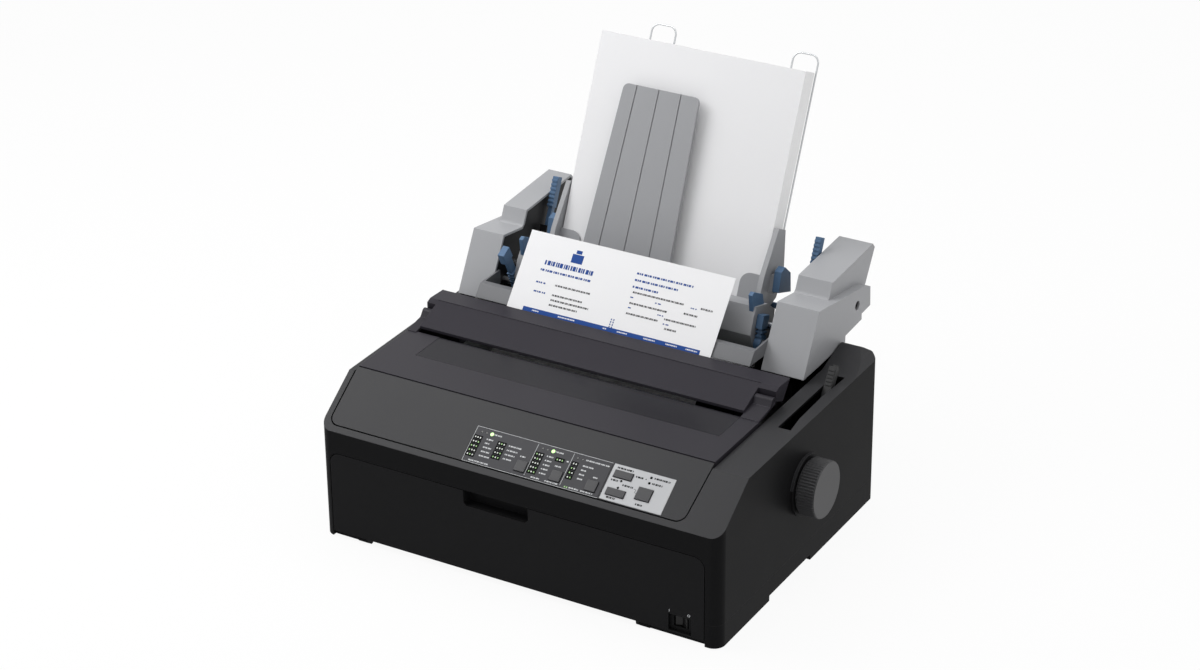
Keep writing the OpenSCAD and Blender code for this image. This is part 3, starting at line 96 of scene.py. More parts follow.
class Wire:
    """One output of a node. Sums on it add Math nodes to the same finish."""

    def __init__(self, finish, socket):
        self.finish = finish
        self.socket = socket

    def maths(self, operation, *values):
        return self.finish.node("ShaderNodeMath", {"operation": operation}, values)

    def __add__(self, other):
        return self.maths("ADD", self, other)

    def __sub__(self, other):
        return self.maths("SUBTRACT", self, other)

    def __rsub__(self, other):
        return self.maths("SUBTRACT", other, self)

    def __mul__(self, other):
        return self.maths("MULTIPLY", self, other)

    def __lt__(self, other):
        return self.maths("LESS_THAN", self, other)

    def __abs__(self):
        return self.maths("ABSOLUTE", self)

    def capped(self):
        return self.finish.node("ShaderNodeClamp", None, [self, 0.0, 1.0])

    __radd__ = __add__
    __rmul__ = __mul__


class Finish:
    """A material whose Principled shader is filled node by node."""

    def __init__(self, name, kind="ShaderNodeBsdfPrincipled", tree=None):
        if tree is None:
            self.material = bpy.data.materials.new(name)
            self.material.use_nodes = True
            tree = self.material.node_tree
        self.tree = tree
        tree.nodes.clear()
        self.shader = tree.nodes.new(kind)
        on_world = kind == "ShaderNodeBackground"
        self.output = tree.nodes.new(
            "ShaderNodeOutputWorld" if on_world else "ShaderNodeOutputMaterial")
        tree.links.new(self.shader.outputs[0], self.output.inputs["Surface"])

    def plug(self, socket, value):
        if isinstance(value, Wire):
            self.tree.links.new(value.socket, socket)
        else:
            socket.default_value = value

    def node(self, kind, settings=None, sockets=(), out=0):
        """Adds a node: its settings first, then the values or wires of its sockets."""
        made = self.tree.nodes.new(kind)
        for key, value in (settings or {}).items():
            setattr(made, key, value)
        for key, value in sockets.items() if isinstance(sockets, dict) else enumerate(sockets):
            self.plug(made.inputs[key], value)
        return Wire(self, made.outputs[out])

    def set(self, **sockets):
        for key, value in sockets.items():
            self.plug(self.shader.inputs[key.replace("_", " ")], value)
        return self

    def mix(self, factor, first, second):
        return self.node("ShaderNodeMix", {"data_type": "RGBA"},
                         {0: factor, 6: first, 7: second}, out=2)

    def place(self):
        return self.node("ShaderNodeTexCoord", out="Object")

    def axes(self):
        """The three numbers of a point's place, in metres."""
        split = self.node("ShaderNodeSeparateXYZ", sockets=[self.place()])
        return [Wire(self, s) for s in split.socket.node.outputs]

    def noise(self, scale, detail=2.0, at=None):
        return self.node("ShaderNodeTexNoise", None, {
            "Vector": at or self.place(), "Scale": scale, "Detail": detail})

    def bump(self, height, distance, strength=1.0, over=None):
        sockets = {"Strength": strength, "Distance": distance, "Height": height}
        if over is not None:
            sockets["Normal"] = over
        return self.node("ShaderNodeBump", None, sockets)

    def glow_mix(self, glow):
        """Shows a plain white to the eye and in reflections, and the shader to all other rays."""
        seen = self.node("ShaderNodeLightPath", out="Is Camera Ray")
        seen += self.node("ShaderNodeLightPath", out="Is Glossy Ray")
        seen += self.node("ShaderNodeLightPath", out="Is Transmission Ray")
        mixed = self.node("ShaderNodeMixShader", None, [
            seen * glow, Wire(self, self.shader.outputs[0]),
            self.node("ShaderNodeEmission", None, {"Color": (1, 1, 1, 1), "Strength": 1.0})])
        self.tree.links.new(mixed.socket, self.output.inputs["Surface"])
        return self


bpy.ops.object.select_all(action="DESELECT")
table_side = 14
bpy.ops.mesh.primitive_plane_add(size=table_side, location=(0, 0, 0))
floor = bpy.context.object
floor.name = "floor"
table_top = Finish("table_top")
table_top.set(
    Base_Color=table_top.mix(table_top.noise(3.0, 4), shade("#e6e6e6"), shade("#ececec")),
    Roughness=0.9)
floor.data.materials.append(table_top.glow_mix(0.93).material)

room = bpy.data.worlds.new("room")
room.use_nodes = True
bpy.context.scene.world = room
room_light = Finish("room", "ShaderNodeBackground", room.node_tree)
room_light.set(Color=(1, 1, 1, 1), Strength=0.55)
room_light.glow_mix(1.0)

lamp_watts = 10
lamps_aim = Vector((0, 0, 0.15))
for lamp_name, lamp_place, lamp_size in (
    ("soft_box_left", (-0.8, -0.3, 1.2), 0.9),
    ("soft_box_above", (0.05, 0.35, 2.1), 1.2),
    ("soft_box_right", (2.4, 0.3, 2.2), 1.8),
):
    soft_box = bpy.data.lights.new(lamp_name, "AREA")
    soft_box.size = lamp_size
    soft_box.energy = lamp_watts
    lamp = bpy.data.objects.new(lamp_name, soft_box)
    bpy.context.scene.collection.objects.link(lamp)
    lamp.matrix_world = Matrix.Translation(lamp_place) @ (
        Vector(lamp_place) - lamps_aim).to_track_quat("Z", "Y").to_matrix().to_4x4()


# ------------------------------------------------------- case and feet
# The lower and upper case are injection moulded in black ABS with a fine spark
# eroded grain. They clip together along one seam and stand on five rubber feet.
def soften(width):
    """Rounds the sharp edges of the piece, except where a short edge leaves no room."""
    sharp_angle = math.radians(32)
    shortest = 1.4 * width
    straight_on = -0.82
    mesh = bpy.context.object.data
    bpy.ops.object.mode_set(mode="EDIT")
    bpy.ops.mesh.select_mode(type="EDGE")
    bpy.ops.mesh.select_all(action="DESELECT")
    bpy.ops.mesh.edges_select_sharp(sharpness=sharp_angle)
    bpy.ops.object.mode_set(mode="OBJECT")
    rays = {}
    for edge in mesh.edges:
        a, b = edge.vertices
        along = mesh.vertices[b].co - mesh.vertices[a].co
        length = max(along.length, 1e-9)
        rays.setdefault(a, []).append((along / length, length, edge.select))
        rays.setdefault(b, []).append((-along / length, length, edge.select))
    tight = set()
    for corner, found in rays.items():
        for way, length, marked in found:
            if length < shortest and not (marked and any(
                    m and way.dot(w) < straight_on for w, _, m in found)):
                tight.add(corner)
    for edge in mesh.edges:
        if edge.vertices[0] in tight or edge.vertices[1] in tight:
            edge.select = False
    bpy.ops.object.mode_set(mode="EDIT")
    # The new rounded faces take the piece's last material: the lighter edge finish, a painted
    # highlight, where the piece has one.
    bpy.ops.mesh.bevel(offset=width, offset_type="OFFSET", segments=2, profile=0.5,
                       affect="EDGES", clamp_overlap=True, miter_outer="SHARP",
                       material=len(bpy.context.object.data.materials) - 1)
    bpy.ops.mesh.select_all(action="SELECT")
    bpy.ops.mesh.dissolve_degenerate(threshold=1e-6)
    bpy.ops.object.mode_set(mode="OBJECT")


def smooth(angle=30):
    """Shades the piece smooth, with its flat faces kept flat."""
    bpy.ops.object.shade_smooth_by_angle(angle=math.radians(angle))
    piece = bpy.context.object
    weigh = piece.modifiers.new("weigh", "WEIGHTED_NORMAL")
    weigh.keep_sharp = True
    bpy.ops.object.modifier_apply(modifier=weigh.name)


def coat(piece, finish):
    piece.data.materials.clear()
    piece.data.materials.append(finish.material)


def moulded_from(node, finish, edge=0.0, angle=30, edges=None):
    """A copy of a CAD node as a finished piece, which rides where the node does.

    Its loose triangles are joined up and its edges rounded, and the rounded edges
    can have a lighter finish of their own, which is a painted highlight.
    """
    part = frame["nodes"][node]
    bpy.ops.object.select_all(action="DESELECT")
    part.select_set(True)
    bpy.context.view_layer.objects.active = part
    bpy.ops.object.duplicate()
    piece = bpy.context.object
    for key in list(piece.keys()):
        del piece[key]
    piece.name = node + "_piece"
    bpy.ops.object.mode_set(mode="EDIT")
    bpy.ops.mesh.select_all(action="SELECT")
    bpy.ops.mesh.remove_doubles(threshold=2e-6)
    bpy.ops.mesh.dissolve_limited(angle_limit=math.radians(0.6))
    bpy.ops.mesh.customdata_custom_splitnormals_clear()
    bpy.ops.object.mode_set(mode="OBJECT")
    coat(piece, finish)
    if edges:
        piece.data.materials.append(edges.material)
    if edge:
        soften(edge)
    smooth(angle)
    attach(piece, part["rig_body"])
    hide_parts(node)
    return piece


def finish_node(node, finish):
    """Gives a CAD node whose shape is right its finish."""
    for slot in frame["nodes"][node].material_slots:
        slot.material = finish.material


def moulded_plastic(name, colour, rough, grain=0.0009, depth=0.00006, cloud=0.10, wear_and_highlight=0.16,
                    shine=0.5, **fixed):
    """Moulded plastic: fine eroded grain, faint clouding, edges a little lighter: partly rubbed
    wear, partly painted highlight.
    """
    finish = Finish(name)
    base = shade(colour)
    fine = finish.noise(1 / grain, 2.0)
    broad = finish.noise(14.0, 3.0)
    dull = (*[c * (1 - cloud) for c in base[:3]], 1)
    clear = (*[c * (1 + cloud) for c in base[:3]], 1)
    # Rounded edges turn a little lighter: partly rubbed wear, partly a painted highlight.
    worn_and_highlit = (*[min(1, c * 1.25 + 0.02) for c in base[:3]], 1)
    rounded = finish.node("ShaderNodeBevel", {"samples": 4}, {"Radius": 0.0006})
    facing = finish.node("ShaderNodeVectorMath", {"operation": "DOT_PRODUCT"}, [
        rounded, finish.node("ShaderNodeNewGeometry", out="Normal")], out="Value")
    rub_and_highlight = ((1 - facing) * 4.0).capped()
    body = finish.mix(broad * 0.7 + fine * 0.3, dull, clear)
    finish.set(
        Base_Color=finish.mix(rub_and_highlight * (broad * 1.6) * wear_and_highlight * 2.0, body, worn_and_highlit),
        Roughness=broad * 0.08 + fine * 0.06 + (rough - 0.07),
        Normal=finish.bump(fine, depth, 0.6, rounded),
        Specular_IOR_Level=shine,
        **fixed)
    return finish


case_black = moulded_plastic("case_black", "#161617", 0.46, wear_and_highlight=0.45, shine=0.03)
# A lighter, glossier copy of the black plastic goes on the upper case's tops, as painted light from
# above.
case_lit_top = moulded_plastic(
    "case_lit_top", "#2d2d2f", 0.40, grain=0.0007, depth=0.00004, wear_and_highlight=0.3, shine=0.17)
# A lighter grey for rounded edges: a painted highlight.
case_edge_highlight = moulded_plastic("case_edge_highlight", "#4a4a4c", 0.35, wear_and_highlight=0.0, shine=0.25)
moulded_from("lower_case", case_black, edge=0.0009)
upper = moulded_from("upper_case", case_black, edge=0.0009, edges=case_edge_highlight)
upper.data.materials.append(case_lit_top.material)
# Upward faces higher than 90 mm take the lighter copy as painted light; rounded edges facing up at
# the front keep the edge finish as a painted highlight; all else stays black.
black_walls, highlit_edges, lit_top = 0, 1, 2
top_from, edges_from, edges_to = 0.09, 0.1, -0.03
for face in upper.data.polygons:
    top = face.normal.z > 0.25 and face.center.z > top_from
    kept = (face.material_index == highlit_edges and face.normal.z > 0.05
            and face.center.z > edges_from and face.center.y < edges_to)
    face.material_index = highlit_edges if kept else lit_top if top else black_walls
foot_rubber = moulded_plastic(
    "foot_rubber", "#232324", 0.82, grain=0.0005, depth=0.00004, wear_and_highlight=0.0)
finish_node("rubber_feet", foot_rubber)

# -------------------------------------------------- sloping front panel
# A separate dark grey moulding lies on the slope. Two thin printed sheets are glued
# in its recesses: a dark one round the three small keys, a silver one for the rest.
panel_grey = moulded_plastic(
    "panel_grey", "#2d2d2f", 0.40, grain=0.0007, depth=0.00004, wear_and_highlight=0.3, shine=0.17)
# Its rounded edges take the lighter edge finish, a painted highlight.
moulded_from("front_panel", panel_grey, edge=0.0007, edges=case_edge_highlight)
overlay_dark = moulded_plastic(
    "overlay_dark", "#3f3f42", 0.46, grain=0.0005, depth=0.00002, wear_and_highlight=0.0, shine=0.15)
finish_node("control_overlay", overlay_dark)
overlay_silver = moulded_plastic("overlay_silver", "#98999b", 0.40, grain=0.0004, depth=0.00002,
                                 cloud=0.03, wear_and_highlight=0.0, Metallic=0.25)
finish_node("key_overlay", overlay_silver)

front_y = -0.152
slope_foot_z = 0.1105
slope_angle = math.radians(34.954)
slope = (Vector((0, front_y, slope_foot_z)), slope_angle)


def start_print(name):
    """Opens an empty mesh for printed marks."""
    bpy.ops.object.select_all(action="DESELECT")
    bpy.ops.mesh.primitive_cube_add(size=0.001)
    piece = bpy.context.object
    piece.name = name
    bpy.ops.object.mode_set(mode="EDIT")
    bpy.ops.mesh.delete(type="VERT")
    return piece


def end_print(piece, finish, body):
    """Closes the mesh of printed marks, inks it and fixes it to its body."""
    bpy.ops.object.mode_set(mode="OBJECT")
    coat(piece, finish)
    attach(piece, body)


def mark(x, s, wide, high, lift=0.23, on=slope, thick=0.06):
    """A flat printed mark, in millimetres across and up a plane: its foot and its slope."""
    foot, lean = on
    spot = foot + Vector((x, s * math.cos(lean) - lift * math.sin(lean),
                          s * math.sin(lean) + lift * math.cos(lean))) / 1000
    bpy.ops.mesh.primitive_cube_add(size=1, location=spot, rotation=(lean, 0, 0),
                                    scale=(wide / 1000, high / 1000, thick / 1000))


def caption(x, s, wide, high, seed, stretch=1.0, **more):
    """A printed caption, kept to a row of plain dashes."""
    at, step = x, seed
    while at < x + wide - 0.4:
        dash = min((1.5, 0.8, 1.1, 2.0, 0.7)[step % 5] * stretch, x + wide - at)
        mark(at + dash / 2, s, dash, high, **more)
        at += dash + (0.45, 0.45, 0.9)[step % 3] * stretch
        step += 1


def printing_ink(name, speckle, dark, light, rough, **fixed):
    """A flat ink, a little uneven from speck to speck."""
    ink = Finish(name)
    ink.set(Base_Color=ink.mix(ink.noise(speckle), shade(dark), shade(light)),
            Roughness=rough, **fixed)
    return ink


pale_ink = printing_ink("pale_ink", 2500.0, "#b4b6b8", "#c8cacc", 0.5)
marks = start_print("panel_marks")
rule_wide = 0.35
panel_word_high = 1.3
for divide_x in (5.1, 41.4):
    mark(divide_x, 25.8, rule_wide, 32.3)
for rule_s in (43.1, 7.8):
    mark(10.8, rule_s, 138.6, rule_wide)
mark(-58.3, 25.4, rule_wide, 35.0)
for word_x, word_s, word_w in (
    (-39.2, 38.9, 7.4), (23.9, 38.9, 7.6), (54.6, 38.9, 23.5),
    (-44.6, 33.0, 6.5), (-44.6, 29.0, 5.0), (-44.6, 24.9, 8.5), (-44.6, 20.6, 9.0),
    (-44.6, 16.2, 11.5),
    (-21.4, 32.4, 13.0), (-21.4, 28.0, 11.0), (-21.4, 23.7, 10.0), (-21.4, 19.4, 8.5),
    (17.6, 32.8, 6.4), (17.6, 28.5, 6.4), (17.6, 24.2, 6.4), (17.6, 20.0, 6.4), (17.6, 15.7, 6.4),
    (37.6, 32.9, 2.4), (54.0, 33.0, 10.5), (54.0, 28.8, 5.5), (54.0, 24.5, 5.5), (54.0, 20.2, 5.5),
    (-6.5, 26.0, 6.0), (29.0, 26.0, 6.0), (68.0, 25.2, 4.0),
    (-52.4, 9.9, 20.0), (12.0, 9.9, 8.5), (26.0, 9.9, 14.0), (50.5, 9.9, 9.5),
    (62.0, 9.9, 12.0),
):
    caption(word_x, word_s, word_w, panel_word_high, int(word_x * 3 + word_s * 7) % 5)
end_print(marks, pale_ink, "printer")

# Five black blocks show which lamps stand for which choice, in rows of two or three
# dots. Each block has its place, its rows, their pitch and its dots in a row.
dark_ink = printing_ink("dark_ink", 2500.0, "#0b0c0c", "#151616", 0.55, Specular_IOR_Level=0.02)
backs = start_print("lamp_pattern_backs")
dot_step, dot_wide, dot_high, dot_lift = 2.5, 1.1, 1.4, 0.29
back_margin, back_high = 1.6, 4.1
lamp_blocks = ((-56.0, 32.6, 5, 4.37, 3), (-31.1, 32.2, 4, 4.53, 3), (7.6, 32.4, 5, 4.4, 3),
               (28.4, 32.3, 1, 4.4, 3), (44.8, 32.7, 4, 4.5, 2))
for block_x, block_s, rows, pitch, columns in lamp_blocks:
    for row in range(rows):
        mark(block_x + dot_step * (columns - 1) / 2, block_s - pitch * row,
             dot_step * columns + back_margin, back_high)
end_print(backs, dark_ink, "printer")
dot_green = printing_ink("pattern_green", 900.0, "#7fae6c", "#a4cf88", 0.45)
dot_white = printing_ink("pattern_white", 900.0, "#c9cdc8", "#e2e4df", 0.45)
row_codes = (0, 1, 4, 2, 5)
for pattern_name, pattern_finish, wanted in (
    ("lamp_pattern_green", dot_green, 1), ("lamp_pattern_white", dot_white, 0),
):
    dots = start_print(pattern_name)
    for block, (block_x, block_s, rows, pitch, columns) in enumerate(lamp_blocks):
        for row in range(rows):
            code = row_codes[(row * 2 + block * 3) % 5]
            for column in range(columns):
                if (code >> column) % 2 == wanted:
                    mark(block_x + dot_step * column, block_s - pitch * row,
                         dot_wide, dot_high, lift=dot_lift)
    if wanted:
        for spot_x in (46.4, 48.5):
            mark(spot_x, 9.7, 1.2, 1.4)
    end_print(dots, pattern_finish, "printer")

# On the silver sheet the marks are black: captions, two spots beside the lamps, two
# arrow heads between the wide keys, and a bent line to the square key.
ink_on_silver = start_print("key_marks")
key_word_high = 1.7
for word_x, word_s, word_w in (
    (85.6, 40.4, 16.5), (105.5, 36.6, 7.6), (122.6, 39.4, 15.5), (122.6, 34.1, 10.0),
    (84.6, 28.0, 6.6), (97.0, 25.6, 11.0), (87.5, 11.2, 9.0), (115.8, 11.8, 6.6),
):
    caption(word_x, word_s, word_w, key_word_high, int(word_x + word_s) % 5)
for spot_x, spot_s in ((119.5, 39.2), (119.8, 33.9)):
    mark(spot_x, spot_s, 1.9, 1.9)
    mark(spot_x, spot_s, 1.5, 2.3)
    mark(spot_x, spot_s, 2.3, 1.5)
mark(115.4, 36.6, 0.9, 0.9)
for spot_x, spot_s in ((94.4, 28.8), (94.2, 22.0)):
    for step in range(5):
        mark(spot_x, spot_s, 0.5 + 0.5 * step, 2.5 - 0.5 * step)
bend_wide = 0.3
mark(109.6, 24.8, 2.2, bend_wide)
mark(110.7, 23.2, bend_wide, 3.2)
mark(111.6, 21.6, 2.0, bend_wide)
end_print(ink_on_silver, dark_ink, "printer")

# Eight light guides of clear plastic stand in holes of the panel. Green lamps on the
# board light two of them, and the rest show dark.
lamp_glow = Finish("lamp_guides")
across = lamp_glow.axes()[0]
first_lit, second_lit, lamp_reach = -0.0418, 0.0213, 0.0025
lit = (abs(across - first_lit) < lamp_reach) + (abs(across - second_lit) < lamp_reach)
lamp_glow.set(
    Base_Color=lamp_glow.mix(lit, shade("#1a1b1a"), shade("#c8f7a8")),
    Emission_Color=lamp_glow.mix(lit, (0, 0, 0, 1), shade("#b4f58c")),
    Emission_Strength=0.75,
    Roughness=0.1 + lamp_glow.noise(600.0) * 0.15)
moulded_from("status_lamps", lamp_glow, edge=0.0003)

# Six keys of dark grey plastic stand in the panel, each on its own little spring.
key_grey = moulded_plastic(
    "key_grey", "#38383a", 0.42, grain=0.0005, depth=0.00003, wear_and_highlight=0.5, shine=0.3)
# Their rounded edges take the lighter edge finish, a painted highlight.
for key_name in ("small_key_1", "small_key_2", "small_key_3",
                 "wide_key_upper", "wide_key_lower", "big_key"):
    moulded_from(key_name, key_grey, edge=0.0007, edges=case_edge_highlight)

# ---------------------------------------------- front door and switch
# The front door is one black moulding on two pins at the foot of the case. The
# mains switch beside it is a black rocker in its own housing.
door_black = moulded_plastic("door_black", "#1b1b1c", 0.48, wear_and_highlight=0.45, shine=0.04)
moulded_from("front_door", door_black, edge=0.0009)
moulded_from("finger_pocket", door_black, edge=0.0004)
moulded_from("switch_housing", door_black, edge=0.0004)
rocker_black = moulded_plastic(
    "rocker_black", "#09090a", 0.30, grain=0.0004, depth=0.00002, shine=0.25)
moulded_from("power_rocker", rocker_black, edge=0.0005)
switch_marks = start_print("switch_marks")
bpy.ops.mesh.primitive_cube_add(size=1, location=(0.1548, front_y, 0.0273),
                                scale=(0.0005, 0.00004, 0.0022))
bpy.ops.mesh.primitive_torus_add(location=(0.174, front_y, 0.0275), rotation=(math.pi / 2, 0, 0),
                                 major_radius=0.0011, minor_radius=0.00025,
                                 major_segments=20, minor_segments=6)
bpy.ops.transform.resize(value=(1, 0.08, 1))
end_print(switch_marks, pale_ink, "printer")

# ------------------------------------------------------- lid and window
# The lid is a dark moulded frame with a smoked window bonded in. Its two arms tilt on
# pins of the tension unit, the long bar that stands behind it.
lid_violet = moulded_plastic(
    "lid_violet", "#28262c", 0.36, grain=0.0006, depth=0.00003, wear_and_highlight=0.5, shine=0.17)
# The rounded edges of the lid frame and of the tension unit take a lighter finish, a painted
# highlight.
lid_edge_highlight = moulded_plastic("lid_edge_highlight", "#444249", 0.35, wear_and_highlight=0.0, shine=0.2)
moulded_from("lid_frame", lid_violet, edge=0.0008, edges=lid_edge_highlight)
smoked = moulded_plastic(
    "smoked_window", "#1e1d22", 0.22, grain=0.0006, depth=0.00001, wear_and_highlight=0.0, shine=0.12)
moulded_from("lid_window", smoked, edge=0.0004)
unit_violet = moulded_plastic(
    "unit_violet", "#2e2c32", 0.38, grain=0.0006, depth=0.00003, wear_and_highlight=0.6, shine=0.1)
moulded_from("tension_unit", unit_violet, edge=0.0008, edges=lid_edge_highlight)

# ---------------------------------------------- platen and gear train
# A rubber covered roller carries the paper. White nylon gears on the left side frame
# drive it and the sheet feeder from one stepping motor.
platen_rubber = moulded_plastic(
    "platen_rubber", "#1a1a1b", 0.75, grain=0.0004, depth=0.00004, wear_and_highlight=0.0)
moulded_from("platen_roller", platen_rubber, edge=0.0005)
knob_grey = moulded_plastic("knob_grey", "#303032", 0.50, grain=0.0006, depth=0.00004, wear_and_highlight=0.3)
moulded_from("platen_knob", knob_grey, edge=0.0004)
nylon = moulded_plastic("nylon", "#dcdad2", 0.45, grain=0.0006, depth=0.00002, cloud=0.04, wear_and_highlight=0.0)
for gear_node in ("platen_gear", "idler_gear_a", "idler_gear_b", "feed_gear", "motor_pinion"):
    finish_node(gear_node, nylon)


def drawn_metal(name, colour, rough, along="X"):
    """Bright metal with fine drawing lines across or up the printer."""
    finish = Finish(name)
    stretch = {"X": (20, 900, 900), "Z": (900, 900, 20)}[along]
    lines = finish.noise(1.0, 3.0, at=finish.node("ShaderNodeMapping", None, {
        "Vector": finish.place(), "Scale": stretch}))
    stain = finish.noise(30.0, 3.0)
    base = shade(colour)
    finish.set(
        Base_Color=finish.mix(lines * 0.5 + stain * 0.5, (*[c * 0.82 for c in base[:3]], 1), base),
        Metallic=1.0, Roughness=lines * 0.15 + (rough - 0.07),
        Normal=finish.bump(lines, 0.00002, 0.5))
    return finish


steel = drawn_metal("bright_steel", "#b9bbbe", 0.28)
zinc = drawn_metal("zinc_plate", "#a4a6a8", 0.40, along="Z")
motor_steel = drawn_metal("motor_steel", "#8b8d90", 0.38, along="Z")
finish_node("drive_motors", motor_steel)
for frame_node in ("side_frame_left", "side_frame_right"):
    finish_node(frame_node, zinc)

# ---------------------------------------------- carriage, head, ribbon
# The print head rides on a ground steel rail, pulled by a toothed belt, with the
# ribbon box lying flat in front of it.
finish_node("carriage_rail", steel)
inner_black = moulded_plastic("inner_black", "#19191a", 0.5, wear_and_highlight=0.0)
for inner_node in ("carriage", "ribbon_cartridge"):
    moulded_from(inner_node, inner_black, edge=0.0006)
finish_node("print_head", zinc)
brass = drawn_metal("brass", "#b08d4a", 0.35)
for pulley_node in ("drive_pulley", "idler_pulley"):
    finish_node(pulley_node, brass)
finish_node("timing_belt", platen_rubber)
board_green = moulded_plastic("board_green", "#1f4a33", 0.45, grain=0.002, wear_and_highlight=0.0)
finish_node("main_board", board_green)
finish_node("power_supply", zinc)
moulded_from("mains_inlet", inner_black, edge=0.0004)
finish_node("interface_sockets", zinc)

# ------------------------------------------------------- release lever
# A ribbed grey lever in the slot of the right side frees the paper.
lever_grey = moulded_plastic("lever_grey", "#2e2e2f", 0.5, shine=0.3)
moulded_from("release_lever", lever_grey, edge=0.0004)

# --------------------------------------------------------- sheet feeder
# The feeder stands on the case: two hollow grey end covers on steel plates, a cross
# beam, two shafts, and two paper guides that slide on them.
feeder_grey = moulded_plastic("feeder_grey", "#9b9c9f", 0.46, cloud=0.03, wear_and_highlight=0.35)
feeder_dim = moulded_plastic("feeder_dim", "#96979a", 0.48, cloud=0.03, wear_and_highlight=0.35)
for cover_node in ("feeder_cover_left", "feeder_cover_right"):
    moulded_from(cover_node, feeder_grey, edge=0.0009)
# The beam's grey is darker than the covers' grey: painted shade.
beam_shaded_grey = moulded_plastic("beam_shaded_grey", "#636467", 0.46, cloud=0.03, wear_and_highlight=0.35)
moulded_from("front_beam", beam_shaded_grey, edge=0.0008)
feeder_dark = moulded_plastic("feeder_dark", "#111113", 0.5, shine=0.2)
moulded_from("feeder_frame", feeder_dark, edge=0.0006)
finish_node("feed_shaft", steel)
finish_node("guide_shaft", steel)
pick_rubber = moulded_plastic("pick_rubber", "#2a2a2c", 0.8, wear_and_highlight=0.0)
for roller_node in ("pick_roller_left", "pick_roller_right"):
    moulded_from(roller_node, pick_rubber, edge=0.0004)
lever_blue = moulded_plastic("lever_blue", "#4f6b8a", 0.45, cloud=0.05, wear_and_highlight=0.3, shine=0.3)
paper_middle = -0.022
tab_near, tab_far, tab_rear, tab_foot, tab_lean = 0.1195, 0.1245, 0.1245, 0.1965, 0.2
grip_near, grip_front, grip_foot = 0.1175, 0.1495, 0.1795
for guide_node in ("sheet_guide_left", "sheet_guide_right"):
    guide = moulded_from(guide_node, feeder_dim, edge=0.0006)
    guide.data.materials.append(lever_blue.material)
    for face in guide.data.polygons:
        off, back, up = face.center
        off = abs(off - paper_middle)
        tab = (tab_near < off < tab_far and back < tab_rear
               and up > tab_foot - (back - 0.104) * tab_lean)
        grip = off > grip_near and back > grip_front and up > grip_foot
        face.material_index = 1 if tab or grip else 0
for lever_node in ("lock_lever_left", "lock_lever_right", "set_levers"):
    moulded_from(lever_node, lever_blue, edge=0.0003)
support_grey = moulded_plastic("support_grey", "#96979a", 0.5, cloud=0.03)
moulded_from("centre_support", support_grey, edge=0.0006)
wire_steel = drawn_metal("wire_steel", "#c8cacc", 0.25, along="Z")
for wire_node in ("wire_support_left", "wire_support_right"):
    moulded_from(wire_node, wire_steel, edge=0.0)

# ---------------------------------------------------------------- paper
# A stack of plain white sheets leans in the feeder, and one printed sheet comes up
# from behind the platen. Fine lines on the sides of the stack are the sheets' edges.
def plain_paper(name, dark, light):
    """Uncoated paper: short fibres, seen as faint specks and felt as a faint tooth."""
    paper = Finish(name)
    fibre = paper.noise(2200.0, 3.0)
    paper.set(Base_Color=paper.mix(fibre, shade(dark), shade(light)), Roughness=0.85,
              Normal=paper.bump(fibre, 0.00002, 0.4))
    return paper


paper_white = plain_paper("paper_white", "#e6e6e8", "#ededee")
moulded_from("printed_sheet", paper_white, angle=25)
ream_white = Finish("ream_white")
side, back, up = ream_white.axes()
lean_cos, lean_sin = 0.9135, 0.4067
lines_across, lines_along = 2600, 4
sheet_edges = ream_white.noise(1.0, 2.0, at=ream_white.node("ShaderNodeCombineXYZ", None, [
    (back * lean_cos - up * lean_sin) * lines_across, side * lines_along, up * lines_along]))
ream_white.set(
    Base_Color=ream_white.mix(sheet_edges, shade("#ececed"), shade("#ffffff")),
    Roughness=0.85, Normal=ream_white.bump(sheet_edges, 0.0001, 0.5))
ream_face = plain_paper("ream_face", "#e4e4e6", "#eaeaeb")
ream = moulded_from("paper_stack", ream_face)
ream.data.materials.append(ream_white.material)
broad_face, sheet_sides = 0, 1
for face in ream.data.polygons:
    face.material_index = broad_face if abs(face.normal.y) > 0.8 else sheet_sides

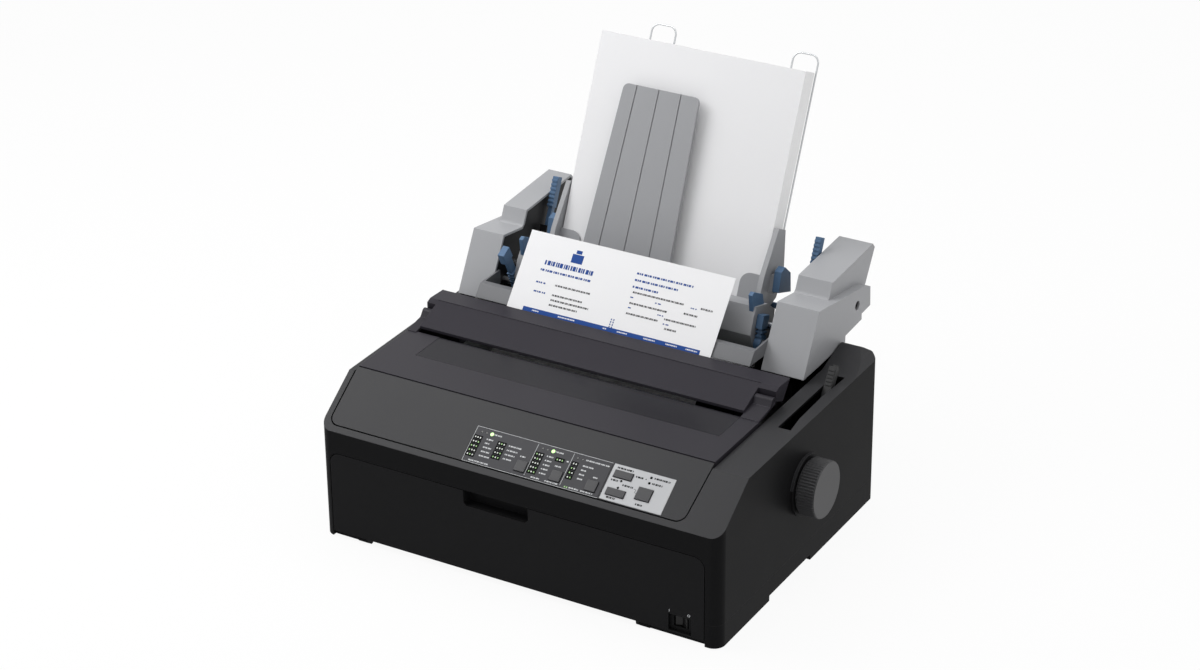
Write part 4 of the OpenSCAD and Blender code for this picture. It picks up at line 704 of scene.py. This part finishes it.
# The sheet is a printed form with a blue head and a blue bar. Its words are left out,
# and rows of plain dashes stand where they would be.
sheet_top = Vector((0, 0.0972, 0.2238))
sheet_slope = math.radians(50.6)
sheet_face = (sheet_top, sheet_slope)
on_sheet = {"on": sheet_face, "lift": 0.05, "thick": 0.06}
ink_blue = printing_ink("ink_blue", 1800.0, "#0a3a82", "#0d4490", 0.8)
blue_print = start_print("form_blue")
mark(-19.3, -74.9, 187.5, 5.2, **on_sheet)
mark(-74.5, -17.5, 12.0, 8.5, **on_sheet)
mark(-74.5, -10.9, 6.0, 3.4, **on_sheet)
for row_x, row_s, row_w, row_h in (
    (-106, -27.3, 52, 4.4), (-108, -34.8, 54, 2.0), (-108.5, -47, 10, 1.5),
    (-108, -56, 13.5, 1.5),
    (-11, -17, 60, 1.9), (-11, -23.4, 45, 1.9), (-11, -30, 27, 1.9), (-10, -40, 3, 1.1),
    (16, -40, 7, 1.1), (52, -36.6, 6, 1.1), (-9, -50, 3, 1.1), (22, -50, 6, 1.1), (30, -57, 7, 1.1),
):
    caption(row_x, row_s, row_w, row_h, int(row_w) % 5, 1.5, **on_sheet)
for column in (-21.2, -18.6):
    for row in range(4):
        mark(column, -64.6 - 2.4 * row, 1.1, 1.5, **on_sheet)
end_print(blue_print, ink_blue, "printer")
ink_black = printing_ink("ink_black", 1800.0, "#2a2a2c", "#3c3c3e", 0.8)
black_print = start_print("form_black")
for row_x, row_s, row_w in (
    (-88, -46.5, 38), (-88, -56, 32), (-88, -60.8, 41), (-88, -65.6, 30),
    (-9, -35, 54), (62, -35, 12), (-9, -45.5, 40), (47, -43, 14), (-9, -55.5, 33), (30, -52.4, 33),
    (33, -61, 12),
):
    caption(row_x, row_s, row_w, 1.7, int(-row_s) % 5, 0.9, **on_sheet)
end_print(black_print, ink_black, "printer")
bar_print = start_print("form_bar_words")
for row_x, row_w in ((-103, 7), (-75, 18), (-27, 4), (-12, 11), (16, 12), (39, 12), (60, 12)):
    caption(row_x, -74.4, row_w, 1.2, row_w % 5, 0.6, on=sheet_face, lift=0.1, thick=0.06)
end_print(bar_print, paper_white, "printer")
